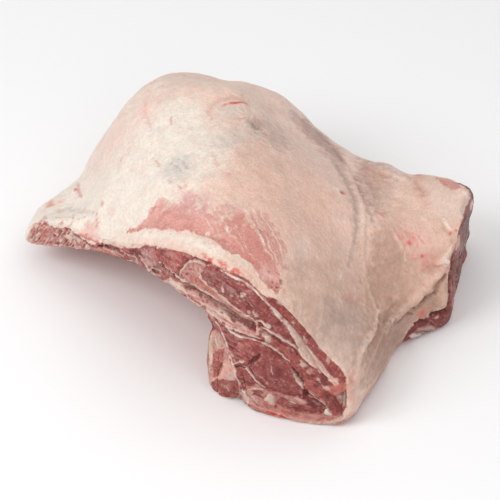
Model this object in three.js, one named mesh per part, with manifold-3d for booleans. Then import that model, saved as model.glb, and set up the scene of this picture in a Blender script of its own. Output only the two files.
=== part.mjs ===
// A raw lamb forequarter roast, bone in, lying on its sawn side with the fat side up.
// Millimetres, +Z up. +X runs from the breast to the back along the cut face, +Y from the cut face
// towards the neck. The origin is under the middle of the roast, on the surface it lies on.

import * as THREE from "three";
import { mergeVertices } from "three/addons/utils/BufferGeometryUtils.js";
import Module from "manifold-3d";

const wasm = await Module();
wasm.setup();

// ---- driving sizes -------------------------------------------------------------------------------
// Until the last step, places are measured from the lower back corner of the cut face. Every list of
// places or heights is evenly spaced along its edge, and a smooth curve runs through it.

// Cut face, seen from above: a chord that stands out in front of the straight line across it.
const CUT_BULGE = 25;
const CUT_BULGE_AT = 0.7; // share of the way from the breast to the back where it stands out most

// Breast edge and back edge, from the cut face to the shoulder. The neck cut ends the back edge.
const BREAST_EDGE = {
  x: [-247, -257, -261, -259, -261, -261, -248],
  y: [0, 20, 42, 64, 86, 110, 138],
};
const BACK_EDGE = {
  x: [4, 3, -1, -6, -10, -4, 4, -5, -12, -18, -22],
  y: [0, 17, 37, 59, 77, 96, 114, 132, 149, 167, 184],
};

// Shoulder edge, from the breast to the far side of the neck.
const SHOULDER_EDGE = {
  x: [-248, -228, -197, -164, -134, -107, -81, -53, -22],
  y: [138, 169, 184, 188, 187, 187, 190, 194, 184],
};

// Height of the fat side above the table, from the breast edge to the back edge.
const FAT_SIDE = {
  cutFace: [33, 53, 53, 69, 88, 102, 102, 85, 52],
  behindTheCut: [29, 42, 81, 98, 108, 110, 106, 86, 52],
  arm: [33, 77, 103, 109, 112, 107, 94, 73, 46],
  shoulder: [50, 93, 108, 107, 100, 87, 74, 64, 56],
  shoulderPoint: [55, 86, 85, 86, 74, 63, 61, 63, 68],
  rim: [55, 79, 77, 80, 68, 63, 61, 66, 70],
};
const RIM_ROLL_FROM = 0.78; // share of the way to the shoulder edge where the fat side rolls under
const RIM_ROLL_POWER = 2.4;

// Round swellings (rise > 0) and dips (rise < 0) on the fat side.
const SWELLINGS = {
  elbow: { x: -167, y: 111, radius: 14, rise: 6 },
  besideElbow: { x: -138, y: 122, radius: 13, rise: -3 },
  breastCorner: { x: -245, y: 52, radius: 11, rise: -12 },
  neckEnd: { x: -31, y: 166, radius: 17, rise: 4 },
};

// Side walls: how far they lean in at the top and how far they bulge out, from the cut to the shoulder.
const BACK_WALL = { lean: [11, 15, 22, 17, 2, 0, 0], bulge: [6, 6, 6, 5, 0, 0, 0] };
const BREAST_WALL = { lean: [2, 2, 4, 7, 7, 7, 7], bulge: [4, 4, 5, 7, 7, 7, 7] };
const LEAN_REACH = 6; // the larger, the nearer the edge the lean stays

// The rib hollow under the roast, from the cut face inwards.
const HOLLOW_LIP = [17, 13, 6, 0, 0, 0]; // height of the breast edge above the table
const HOLLOW_RISE = [65, 63, 55, 42, 18, 0]; // height of the arch near the backbone
const ARCH_POWER = 1.3; // the larger, the slower the arch rises from the breast
const ARCH_TOP_AT = 0.565; // share of the way across where the arch is highest
const BACKBONE_AT = 0.655; // share of the way across where the backbone's wall stands
const BACKBONE_WALL = 0.02; // share of the width that this wall takes
const RIBS = { count: 6, relief: 1.6 }; // ribs showing through the lining of the hollow

// Split backbone, lying along the sawn side from the cut face to the neck cut.
const BACKBONE = {
  x: [-66, -61, -55, -52, -46, -37, -22, 7],
  y: [-40, -9, 22, 53, 83, 110, 136, 162],
  halfWidth: 11,
  height: [35, 35, 35, 34, 33, 31, 29, 29],
};
const VERTEBRA = { length: 24, waist: 0.1 }; // each bone is narrower at its middle by this share

// Blade bone, running from the cut face towards the point of the shoulder.
const BLADE = {
  from: { x: -66, y: -40, z: 81 },
  to: { x: -134, y: 77, z: 83 },
  halfWidth: [29, 13], // at the cut face and at its inner end
  thickEdge: 6.5, // half thickness at the breast side
  thinEdge: 1.7, // half thickness at the back side
  tilt: 0.14, // how far the back side drops, per millimetre across
};

const BONE_SQUARENESS = 0.65; // power that flattens the sides of a bone's section
const BONE_GAP = 0.3; // between a bone and the meat round it

const ACROSS = 46; // steps from the breast edge to the back edge
const ALONG = 30; // steps from the cut face to the shoulder edge
const WALL = 4; // steps down a side wall
const BACKBONE_STEPS = 32; // steps along the backbone
const BLADE_STEPS = 10; // steps along the blade bone
const BONE_SIDES = 14; // sides round a bone

// ---- small helpers -------------------------------------------------------------------------------

const { lerp, clamp, smoothstep } = THREE.MathUtils;

/** A smooth curve through evenly spaced values, at t from 0 to 1. */
function through(values, t) {
  const last = values.length - 1;
  const place = clamp(t, 0, 1) * last;
  const i = Math.min(Math.floor(place), last - 1);
  const f = place - i;
  const b = values[i];
  const c = values[i + 1];
  const a = values[i - 1] ?? 2 * b - c;
  const d = values[i + 2] ?? 2 * c - b;
  const bend = (2 * a - 5 * b + 4 * c - d) * f * f + (3 * b - a - 3 * c + d) * f ** 3;
  return 0.5 * (2 * b + (c - a) * f + bend);
}

/** The whole numbers from 0 to count - 1. */
const upTo = (count) => Array.from({ length: count }, (_, i) => i);

/** A closed solid from rings of points: each ring is joined to the next and both ends are capped. */
function loft(rings, cap) {
  const n = rings[0].length;
  const faces = [];
  for (let j = 0; j + 1 < rings.length; j++) {
    for (const i of upTo(n)) {
      const a = j * n + i;
      const b = j * n + ((i + 1) % n);
      faces.push(a, b, b + n, a, b + n, a + n);
    }
  }
  const last = (rings.length - 1) * n;
  for (const [p, q, r] of cap) faces.push(r, q, p, p + last, q + last, r + last);
  const geometry = new THREE.BufferGeometry();
  geometry.setAttribute("position", new THREE.Float32BufferAttribute(rings.flat(2), 3));
  geometry.setIndex(faces);
  return solid(geometry);
}

/** A three.js geometry as a manifold solid. */
function solid(geometry) {
  const merged = mergeVertices(geometry, 1e-4);
  return new wasm.Manifold(
    new wasm.Mesh({
      numProp: 3,
      vertProperties: merged.attributes.position.array,
      triVerts: new Uint32Array(merged.index.array),
    }),
  );
}

/** A manifold solid as a named mesh with a material of its own, moved by the given step. */
function named(name, manifold, colour, roughness, step) {
  const made = manifold.getMesh();
  const geometry = new THREE.BufferGeometry();
  geometry.setAttribute("position", new THREE.BufferAttribute(made.vertProperties, 3));
  geometry.setIndex(new THREE.BufferAttribute(made.triVerts, 1));
  geometry.translate(...step);
  geometry.computeVertexNormals();
  const mesh = new THREE.Mesh(geometry, new THREE.MeshStandardMaterial({ color: colour, roughness, metalness: 0 }));
  mesh.name = name;
  return mesh;
}

// ---- the plan and the two skins ------------------------------------------------------------------

const onEdge = (edge, t) => [through(edge.x, t), through(edge.y, t)];

/** The cut face seen from above. */
function onCut(across) {
  const warp = Math.log(0.5) / Math.log(CUT_BULGE_AT);
  const [from] = onEdge(BREAST_EDGE, 0);
  const [to] = onEdge(BACK_EDGE, 0);
  return [lerp(from, to, across), -CUT_BULGE * Math.sin(Math.PI * across ** warp)];
}

/** The plan place of a share across and a share along: a patch between the four edges. */
function plan(across, along) {
  const near = onCut(across);
  const far = onEdge(SHOULDER_EDGE, across);
  const left = onEdge(BREAST_EDGE, along);
  const right = onEdge(BACK_EDGE, along);
  const nearCorners = [onCut(0), onCut(1)];
  const farCorners = [onEdge(SHOULDER_EDGE, 0), onEdge(SHOULDER_EDGE, 1)];
  return [0, 1].map((k) => {
    const nearLine = lerp(nearCorners[0][k], nearCorners[1][k], across);
    const farLine = lerp(farCorners[0][k], farCorners[1][k], across);
    return lerp(near[k], far[k], along) + lerp(left[k], right[k], across) - lerp(nearLine, farLine, along);
  });
}

/** How much the swellings and dips lift a plan place. */
function swelling([x, y]) {
  let lift = 0;
  for (const s of Object.values(SWELLINGS)) {
    lift += s.rise * Math.exp(-((x - s.x) ** 2 + (y - s.y) ** 2) / (2 * s.radius ** 2));
  }
  return lift;
}

/** Height of the fat side at a share across and a share along. */
function fatSide(across, along) {
  const roll = clamp((along - RIM_ROLL_FROM) / (1 - RIM_ROLL_FROM), 0, 1);
  const rows = Object.values(FAT_SIDE).map((row) => through(row, across));
  const height = through(rows, along) + swelling(plan(across, along));
  return Math.max(height * Math.sqrt(1 - roll ** RIM_ROLL_POWER), 3);
}

/** Height of the underside: the rib hollow, then the sawn flat under the backbone. */
function underside(across, along) {
  const lip = through(HOLLOW_LIP, along);
  const rise = Math.max(through(HOLLOW_RISE, along) - lip, 0);
  const arch = Math.sin((Math.PI / 2) * clamp(across / ARCH_TOP_AT, 0, 1)) ** ARCH_POWER;
  const rib = RIBS.relief * arch * (rise / HOLLOW_RISE[0]) * Math.cos(2 * Math.PI * RIBS.count * along);
  const wall = 1 - smoothstep(across, BACKBONE_AT, BACKBONE_AT + BACKBONE_WALL);
  const height = (lip + rise * arch + rib) * wall;
  return clamp(height, 0, fatSide(across, along) - 2);
}

// ---- the meat ------------------------------------------------------------------------------------

/** Points down a side wall, between the fat side and the underside, without its two end points. */
function wallPoints(across, along, wall) {
  const outwards = across === 0 ? -1 : 1;
  const [x, y] = plan(across, along);
  return upTo(WALL - 1).map((i) => {
    const t = (i + 1) / WALL;
    const out = through(wall.bulge, along) * Math.sin(Math.PI * t) - through(wall.lean, along) * (1 - t) ** 2;
    return [x + outwards * out, y, lerp(fatSide(across, along), underside(across, along), t)];
  });
}

/** One ring: over the fat side, down the back wall, along the underside, up the breast wall. */
function bodyRing(along) {
  const shares = upTo(ACROSS + 1).map((i) => i / ACROSS);
  const top = shares.map((across) => {
    const [x, y] = plan(across, along);
    const fromBreast = through(BREAST_WALL.lean, along) * (1 - across) ** LEAN_REACH;
    const fromBack = through(BACK_WALL.lean, along) * across ** LEAN_REACH;
    return [x + fromBreast - fromBack, y, fatSide(across, along)];
  });
  const low = shares.map((across) => [...plan(across, along), underside(across, along)]);
  const back = wallPoints(1, along, BACK_WALL);
  const breast = wallPoints(0, along, BREAST_WALL);
  return [...top, ...back, ...low.reverse(), ...breast.reverse()];
}

/** Cap triangles for a body ring: strips between the two skins and a fan at each side wall. */
function bodyCap() {
  const n = 2 * (ACROSS + WALL);
  const lowOf = (i) => 2 * ACROSS + WALL - i;
  const triangles = [];
  for (const i of upTo(ACROSS)) {
    triangles.push([i, i + 1, lowOf(i + 1)]);
    triangles.push([i, lowOf(i + 1), lowOf(i)]);
  }
  for (const k of upTo(WALL - 1)) {
    triangles.push([ACROSS, ACROSS + k + 1, ACROSS + k + 2]);
    triangles.push([lowOf(0), lowOf(0) + k + 1, (lowOf(0) + k + 2) % n]);
  }
  return triangles;
}

const body = loft(
  upTo(ALONG + 1).map((j) => bodyRing(j / ALONG)),
  bodyCap(),
);

// ---- the bones -----------------------------------------------------------------------------------

/** A sine or cosine made squarer: the lower the power, the flatter the sides of a section. */
const squared = (value, power) => Math.sign(value) * Math.abs(value) ** power;

/** Cap triangles for a ring that bulges outwards all round. */
const fan = (n) => upTo(n - 2).map((i) => [0, i + 1, i + 2]);

/** The split backbone, grown by a gap: a flat sawn side down, rounded above, waisted at each bone. */
function backboneBlank(gap) {
  const rings = upTo(BACKBONE_STEPS + 1).map((j) => {
    const t = j / BACKBONE_STEPS;
    const [x, y] = onEdge(BACKBONE, t);
    const [nextX, nextY] = onEdge(BACKBONE, Math.min(t + 0.01, 1));
    const [priorX, priorY] = onEdge(BACKBONE, Math.max(t - 0.01, 0));
    const heading = Math.atan2(nextY - priorY, nextX - priorX);
    const bones = (BACKBONE.y.at(-1) - BACKBONE.y[0]) / VERTEBRA.length;
    const waist = 1 - VERTEBRA.waist * Math.sin(Math.PI * bones * t) ** 2;
    const half = BACKBONE.halfWidth * waist + gap;
    const height = through(BACKBONE.height, t) * waist + 2 * gap;
    return upTo(BONE_SIDES).map((i) => {
      const turn = (Math.PI * i) / (BONE_SIDES - 1);
      const out = half * squared(Math.cos(turn), BONE_SQUARENESS);
      const up = height * squared(Math.max(Math.sin(turn), 0), BONE_SQUARENESS) - gap;
      return [x - Math.sin(heading) * out, y + Math.cos(heading) * out, up];
    });
  });
  return loft(rings, fan(BONE_SIDES));
}

/** The blade bone, grown by a gap: a plate, thick at the breast side and thin at the back side. */
function bladeBlank(gap) {
  const rings = upTo(BLADE_STEPS + 1).map((j) => {
    const t = j / BLADE_STEPS;
    const x = lerp(BLADE.from.x, BLADE.to.x, t);
    const y = lerp(BLADE.from.y, BLADE.to.y + gap, t);
    const z = lerp(BLADE.from.z, BLADE.to.z, t);
    const half = lerp(...BLADE.halfWidth, t) * (1 - 0.5 * smoothstep(t, 0.9, 1)) + gap;
    return upTo(BONE_SIDES).map((i) => {
      const turn = (2 * Math.PI * i) / BONE_SIDES;
      const across = -Math.cos(turn);
      const thick = lerp(BLADE.thickEdge, BLADE.thinEdge, smoothstep(across, -0.6, 0.1)) + gap;
      const up = thick * squared(Math.sin(turn), BONE_SQUARENESS);
      return [x + half * across, y, z - BLADE.tilt * half * across + up];
    });
  });
  return loft(rings, fan(BONE_SIDES));
}

const bones = {
  backbone: body.intersect(backboneBlank(0)),
  blade_bone: body.intersect(bladeBlank(0)),
};
const boned = body.subtract(backboneBlank(BONE_GAP)).subtract(bladeBlank(BONE_GAP));

// ---- the roast, moved over the origin --------------------------------------------------------------

const { min, max } = body.boundingBox();
const step = [-(min[0] + max[0]) / 2, -(min[1] + max[1]) / 2, -min[2]];

const roast = new THREE.Group();
roast.add(named("meat", boned, 0xdcc3b4, 0.55, step));
roast.add(named("backbone", bones.backbone, 0xc98d80, 0.6, step));
roast.add(named("blade_bone", bones.blade_bone, 0xe3c8b2, 0.6, step));
export default roast;
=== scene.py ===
"""Looks of a raw lamb forequarter roast: fat cover, cut faces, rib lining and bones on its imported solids."""

import itertools
import logging
import math
from dataclasses import dataclass
from enum import Enum
from functools import partial

import bmesh
import bpy
import numpy as np
from mathutils import Euler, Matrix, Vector
from mathutils.bvhtree import BVHTree
from mathutils.kdtree import KDTree


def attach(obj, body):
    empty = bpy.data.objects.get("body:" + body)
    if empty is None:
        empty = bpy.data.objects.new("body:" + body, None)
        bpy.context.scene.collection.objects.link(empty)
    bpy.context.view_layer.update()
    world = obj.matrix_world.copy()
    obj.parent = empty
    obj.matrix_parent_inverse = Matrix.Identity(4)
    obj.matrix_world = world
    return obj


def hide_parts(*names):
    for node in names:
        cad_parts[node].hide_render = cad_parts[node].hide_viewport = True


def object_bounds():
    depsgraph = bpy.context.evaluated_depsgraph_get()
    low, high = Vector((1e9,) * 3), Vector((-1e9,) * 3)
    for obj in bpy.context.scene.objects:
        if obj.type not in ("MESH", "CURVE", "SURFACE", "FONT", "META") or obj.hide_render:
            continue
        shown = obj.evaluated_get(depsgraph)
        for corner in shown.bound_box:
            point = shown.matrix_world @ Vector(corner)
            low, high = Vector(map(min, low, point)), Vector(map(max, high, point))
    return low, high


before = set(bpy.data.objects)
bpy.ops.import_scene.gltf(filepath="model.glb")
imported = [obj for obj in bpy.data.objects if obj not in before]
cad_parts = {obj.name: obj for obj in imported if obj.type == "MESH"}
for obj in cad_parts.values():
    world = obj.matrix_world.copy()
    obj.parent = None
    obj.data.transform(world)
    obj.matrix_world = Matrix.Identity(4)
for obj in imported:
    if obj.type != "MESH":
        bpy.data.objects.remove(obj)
cad_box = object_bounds()

MM = 0.001
GLOSS_VEIL = 0.04
LOG = logging.getLogger("roast")
Array = np.ndarray


# ---- small helpers -------------------------------------------------------------------------------


def ramp(value: Array, start: float, end: float) -> Array:
    """A smooth step that is 0 at start and 1 at end, whichever is larger."""
    share = np.clip((value - start) / (end - start), 0.0, 1.0)
    return share * share * (3.0 - 2.0 * share)


def mix(a: Array, b: Array, share: Array) -> Array:
    """A blend from a to b, for numbers or for rows of numbers."""
    share = share[:, None] if np.ndim(a) == 2 and np.ndim(share) == 1 else share
    return a + (b - a) * share


def curve_through(places: Array, steps: int = 6) -> Array:
    """A smooth line through some places.

    Args:
        places: rows of two or more numbers.
        steps: how many short pieces each stretch is cut into.

    Returns:
        The rows along the line, its ends included.
    """
    ends = np.vstack([2 * places[0] - places[1], places, 2 * places[-1] - places[-2]])
    t = np.linspace(0.0, 1.0, steps, endpoint=False)[:, None]
    rows = []
    for a, b, c, d in zip(ends[:-3], ends[1:-2], ends[2:-1], ends[3:]):
        bend = (2 * a - 5 * b + 4 * c - d) * t**2 + (3 * b - a - 3 * c + d) * t**3
        rows.append(0.5 * (2 * b + (c - a) * t + bend))
    return np.vstack([*rows, places[-1:]])


def placed(name: str, data: bpy.types.ID) -> bpy.types.Object:
    """A new object in the scene."""
    thing = bpy.data.objects.new(name, data)
    bpy.context.scene.collection.objects.link(thing)
    return thing


def points_of(mesh: bpy.types.Mesh) -> Array:
    """A mesh's points, as rows of three numbers."""
    points = np.zeros(len(mesh.vertices) * 3)
    mesh.vertices.foreach_get("co", points)
    return points.reshape(-1, 3)


def hold(mesh: bpy.types.Mesh, label: str, values: Array) -> None:
    """Keeps a number or a colour for each point of a mesh, for its material or for what is strewn on it."""
    kind, key = ("FLOAT_COLOR", "color") if values.ndim == 2 else ("FLOAT", "value")
    mesh.attributes.new(label, kind, "POINT").data.foreach_set(key, values.astype(np.float32).ravel())


def finished(name: str, mesh: bpy.types.Mesh) -> bpy.types.Object:
    """Makes a finished piece that rides on the roast.

    Args:
        name: the piece's name.
        mesh: its mesh, with its material.

    Returns:
        The piece.
    """
    piece = placed(name, mesh)
    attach(piece, "root")
    LOG.info("%s: %d points, %d faces", name, len(mesh.vertices), len(mesh.polygons))
    return piece


class Grain:
    """Smooth seeded noise in space, about -1 to 1."""

    CELLS = 32

    def __init__(self, seed: int) -> None:
        """Draws the noise's own lattice of values."""
        self.values = np.random.default_rng(seed).uniform(-1.0, 1.0, (self.CELLS,) * 3)

    def at(self, points: Array, size: float) -> Array:
        """Noise at some points.

        Args:
            points: rows of three numbers.
            size: distance over which the noise changes.

        Returns:
            One value for each point.
        """
        place = points / size + 0.37
        cell = np.floor(place).astype(int)
        part = place - cell
        part = part**3 * (part * (part * 6.0 - 15.0) + 10.0)
        total = np.zeros(len(points))
        for corner in itertools.product((0, 1), repeat=3):
            weight = np.ones(len(points))
            for axis, high in enumerate(corner):
                weight *= part[:, axis] if high else 1.0 - part[:, axis]
            i, j, k = ((cell + np.array(corner)) % self.CELLS).T
            total += weight * self.values[i, j, k]
        return total * 1.5

    def layered(self, points: Array, size: float, layers: int = 3) -> Array:
        """Noise with finer noise on it, each layer half the size and half the strength of the last."""
        parts = [self.at(points + 7.1 * k, size / 2**k) / 2**k for k in range(layers)]
        return sum(parts) / 1.4


# ---- the photo's view ----------------------------------------------------------------------------


@dataclass(frozen=True)
class PhotoView:
    """The camera at the photo's viewing angle. Its place is in millimetres, in the row frame."""

    place: tuple[float, float, float] = (597.77, -794.92, 848.95)
    tilt_deg: float = 50.0
    turn_deg: float = 37.0
    lens_mm: float = 144.0
    sensor_mm: float = 36.0
    image_px: int = 500
    clip_m: tuple[float, float] = (0.05, 20.0)

    def focal_px(self) -> float:
        """The lens's focal length in pixels of the photo."""
        return self.lens_mm / self.sensor_mm * self.image_px

    def turned(self) -> Euler:
        """The camera's turn."""
        return Euler((math.radians(self.tilt_deg), 0.0, math.radians(self.turn_deg)))

    def pixels(self, points: Array) -> Array:
        """Where points fall in the photo.

        Args:
            points: rows of x, y and z in millimetres.

        Returns:
            Rows of two pixel coordinates, from the top left corner.
        """
        right, up, back = np.array(self.turned().to_matrix()).T
        offset = points - np.array(self.place)
        scale = self.focal_px() / -(offset @ back)
        half = self.image_px / 2
        return np.column_stack([half + scale * (offset @ right), half - scale * (offset @ up)])

    def facing(self, points: Array, normals: Array) -> Array:
        """How squarely a surface faces the camera: 1 straight on, 0 edge on, below 0 from behind."""
        sight = np.array(self.place) - points
        return np.einsum("ij,ij->i", normals, sight) / np.linalg.norm(sight, axis=1)

    def make_camera(self) -> None:
        """Makes the scene's camera."""
        data = bpy.data.cameras.new("photo_camera")
        data.lens, data.sensor_width = self.lens_mm, self.sensor_mm
        data.clip_start, data.clip_end = self.clip_m
        camera = placed("photo_camera", data)
        camera.location = Vector(self.place) * MM
        camera.rotation_euler = self.turned()
        bpy.context.scene.camera = camera


VIEW = PhotoView()


# ---- tints and marks -----------------------------------------------------------------------------


class Tint(Enum):
    """The colours of fat, lean and bone, and of painted shade, as screen red, green and blue."""

    CREAM = (238, 226, 214)
    RIM_FAT = (234, 215, 201)
    WARM_FAT = (236, 209, 195)
    BEIGE = (233, 203, 187)
    ROSY_BEIGE = (232, 195, 178)
    TAN = (206, 170, 152)
    DEEP_TAN = (186, 151, 136)
    # Painted shade: a tan for fat on slopes and creases turned from the light.
    SHADED_TAN = (160, 127, 113)
    GREY_TAN = (198, 172, 160)
    GREY = (176, 152, 143)
    COOL_GREY = (203, 196, 190)
    BLUSH = (238, 205, 193)
    PINK_LEAN = (219, 160, 150)
    PALE_PINK = (232, 186, 176)
    MAUVE = (214, 168, 164)
    DEEP_PINK = (205, 138, 128)
    BRICK = (182, 102, 96)
    LEAN = (159, 89, 85)
    BRIGHT_LEAN = (178, 96, 90)
    DARK_LEAN = (122, 62, 60)
    # Painted shade: near-black red for crevices, pits and gaps, and for cut faces turned from the light.
    DEEP_SHADE = (84, 44, 42)
    BROWN_GREY = (136, 100, 90)
    FASCIA = (226, 205, 190)
    WHITE_FASCIA = (238, 226, 214)
    PINK_FAT = (224, 172, 158)
    RED_FAT = (206, 128, 116)
    CARTILAGE = (228, 176, 164)
    SPONGE = (160, 92, 86)
    BLOOD = (196, 58, 52)
    SOFT_BLOOD = (214, 112, 102)
    LINING = (206, 150, 140)

    @property
    def linear(self) -> Array:
        """The colour as linear light, less the light that a wet surface's gloss adds to it."""
        screen = np.array(self.value) / 255.0
        light = np.where(screen < 0.04045, screen / 12.92, ((screen + 0.055) / 1.055) ** 2.4)
        return np.maximum(light - GLOSS_VEIL, 0.012)


class Kind(Enum):
    """What the places of a mark mean."""

    LINE = "a line through the places"
    PATCH = "a closed outline through the places"
    SPOT = "x, y, half length, half width and turn in degrees of an oval"


@dataclass(frozen=True)
class Mark:
    """One feature of the surface. Its places are pixels of the photo, or millimetres on a face.

    reach is half a line's width, or how soft a patch's edge is. relief is in millimetres, outwards.
    ragged is how far noise moves the edge, broken how much of it noise takes away, and dome the
    distance over which the relief of a patch rises from its edge.
    """

    kind: Kind
    places: tuple[float, ...]
    tint: Tint | None
    reach: float = 1.5
    relief: float = 0.0
    amount: float = 1.0
    lean: float | None = None
    spongy: float | None = None
    ragged: float = 0.5
    broken: float = 0.0
    dome: float = 0.0

    def distance(self, seen: Array) -> tuple[Array, Array]:
        """How far the mark's edge or line is.

        Args:
            seen: rows of two coordinates, in the mark's own units.

        Returns:
            Distances, below 0 inside a patch or spot, and how much the mark tapers there.
        """
        whole = np.ones(len(seen))
        if self.kind is Kind.SPOT:
            x, y, long, wide, turn = self.places
            c, s = math.cos(math.radians(turn)), math.sin(math.radians(turn))
            dx, dy = seen[:, 0] - x, seen[:, 1] - y
            share = np.hypot((dx * c + dy * s) / long, (dy * c - dx * s) / wide)
            return (share - 1.0) * min(long, wide), whole
        places = np.array(self.places, float).reshape(-1, 2)
        closed = self.kind is Kind.PATCH
        line = np.vstack([places, places[:1]]) if closed else curve_through(places)
        nearest, along, inside = np.full(len(seen), 1e9), np.zeros(len(seen)), np.zeros(len(seen), bool)
        total = len(line) - 1
        for index, (a, b) in enumerate(zip(line[:-1], line[1:])):
            step = b - a
            offset = seen - a
            share = np.clip(offset @ step / (step @ step + 1e-9), 0.0, 1.0)
            away = np.hypot(*(offset - share[:, None] * step).T)
            along = np.where(away < nearest, (index + share) / total, along)
            nearest = np.minimum(nearest, away)
            if closed:
                crosses = (a[1] > seen[:, 1]) != (b[1] > seen[:, 1])
                at = a[0] + (seen[:, 1] - a[1]) / (step[1] if step[1] else 1e-9) * step[0]
                inside ^= crosses & (seen[:, 0] < at)
        if closed:
            return np.where(inside, -nearest, nearest), whole
        return nearest, 0.35 + 0.65 * np.sqrt(np.sin(np.pi * np.clip(along, 0.02, 0.98)))

    def near(self, seen: Array, least: float = 3.0) -> Array:
        """Finds the rows that are close enough for the mark to matter.

        Args:
            seen: rows of two coordinates, in the mark's own units.
            least: the least distance that counts as close.

        Returns:
            Their indices.
        """
        if self.kind is Kind.SPOT:
            x, y, long, wide, _ = self.places
            places, room = np.array([[x, y]]), max(long, wide)
        else:
            places, room = np.array(self.places, float).reshape(-1, 2), 0.0
        room += max(least, 3 * self.reach + 2 * self.ragged)
        low, high = places.min(0) - room, places.max(0) + room
        return np.flatnonzero(((seen > low) & (seen < high)).all(1))

    def wobble(self) -> float:
        """How far noise moves the edge: more for a spot, so that it is no plain oval."""
        if self.kind is Kind.SPOT:
            return max(self.ragged, 0.3 * min(self.places[2:4]))
        return self.ragged


def line(tint: Tint | None, reach: float, *places: float, **more: float | None) -> Mark:
    """A line through some places."""
    return Mark(Kind.LINE, places, tint, reach, **more)


def patch(tint: Tint | None, reach: float, *places: float, **more: float | None) -> Mark:
    """A filled outline through some places."""
    return Mark(Kind.PATCH, places, tint, reach, **more)


def spot(tint: Tint | None, reach: float, *places: float, **more: float | None) -> Mark:
    """A filled oval: x, y, half length, half width and turn."""
    return Mark(Kind.SPOT, places, tint, reach, **more)


# Makers of the commonest marks, with the settings that most of them share.
beige_line = partial(line, Tint.BEIGE, amount=0.45, ragged=1, relief=0.3)
# Painted shade: dark lines with sunken relief in the crevices of the cut faces.
deep_shade_line = partial(line, Tint.DEEP_SHADE, amount=0.6, ragged=0.6, relief=-0.6)
brown_grey_line = partial(line, Tint.BROWN_GREY, amount=0.6, ragged=0.4, relief=0.4)
dark_lean_line = partial(line, Tint.DARK_LEAN, amount=0.7, relief=-0.4)
# Dark tan lines: with sunken relief they paint the shade in creases of the fat. On the neck cut they are
# raised tan seams of fat.
crease_shade_and_tan_seam_line = partial(line, Tint.DEEP_TAN, amount=0.5, ragged=0.8, relief=-0.7)
fascia_line = partial(line, Tint.FASCIA, amount=0.6, ragged=0.6, lean=0)
pale_pink_line = partial(line, Tint.PALE_PINK, amount=0.75, ragged=0.8, lean=0.1)
pink_fat_line = partial(line, Tint.PINK_FAT, amount=0.5, ragged=0.8)
red_fat_line = partial(line, Tint.RED_FAT, amount=0.7, ragged=0.8)
soft_blood_line = partial(line, Tint.SOFT_BLOOD, amount=0.5, ragged=0.8)
white_fascia_line = partial(line, Tint.WHITE_FASCIA, amount=0.6, ragged=0.4, relief=0.3)
dark_lean_patch = partial(patch, Tint.DARK_LEAN, ragged=1.5, lean=1)
lean_patch = partial(patch, Tint.LEAN, amount=0.95, ragged=0.8, lean=1)
beige_spot = partial(spot, Tint.BEIGE, amount=0.5, ragged=3, relief=0.8)
dark_lean_spot = partial(spot, Tint.DARK_LEAN, relief=-0.5, lean=1)
fascia_spot = partial(spot, Tint.FASCIA, amount=0.7, ragged=1.8, relief=0.3, lean=0)
pink_fat_spot = partial(spot, Tint.PINK_FAT, amount=0.6)
soft_blood_spot = partial(spot, Tint.SOFT_BLOOD, amount=0.6)


class Layer(Enum):
    """Which of a surface's two layers a mark is laid on."""

    COVER = "fat, linings and bone"
    FLESH = "what shows where the cover is open"


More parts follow.
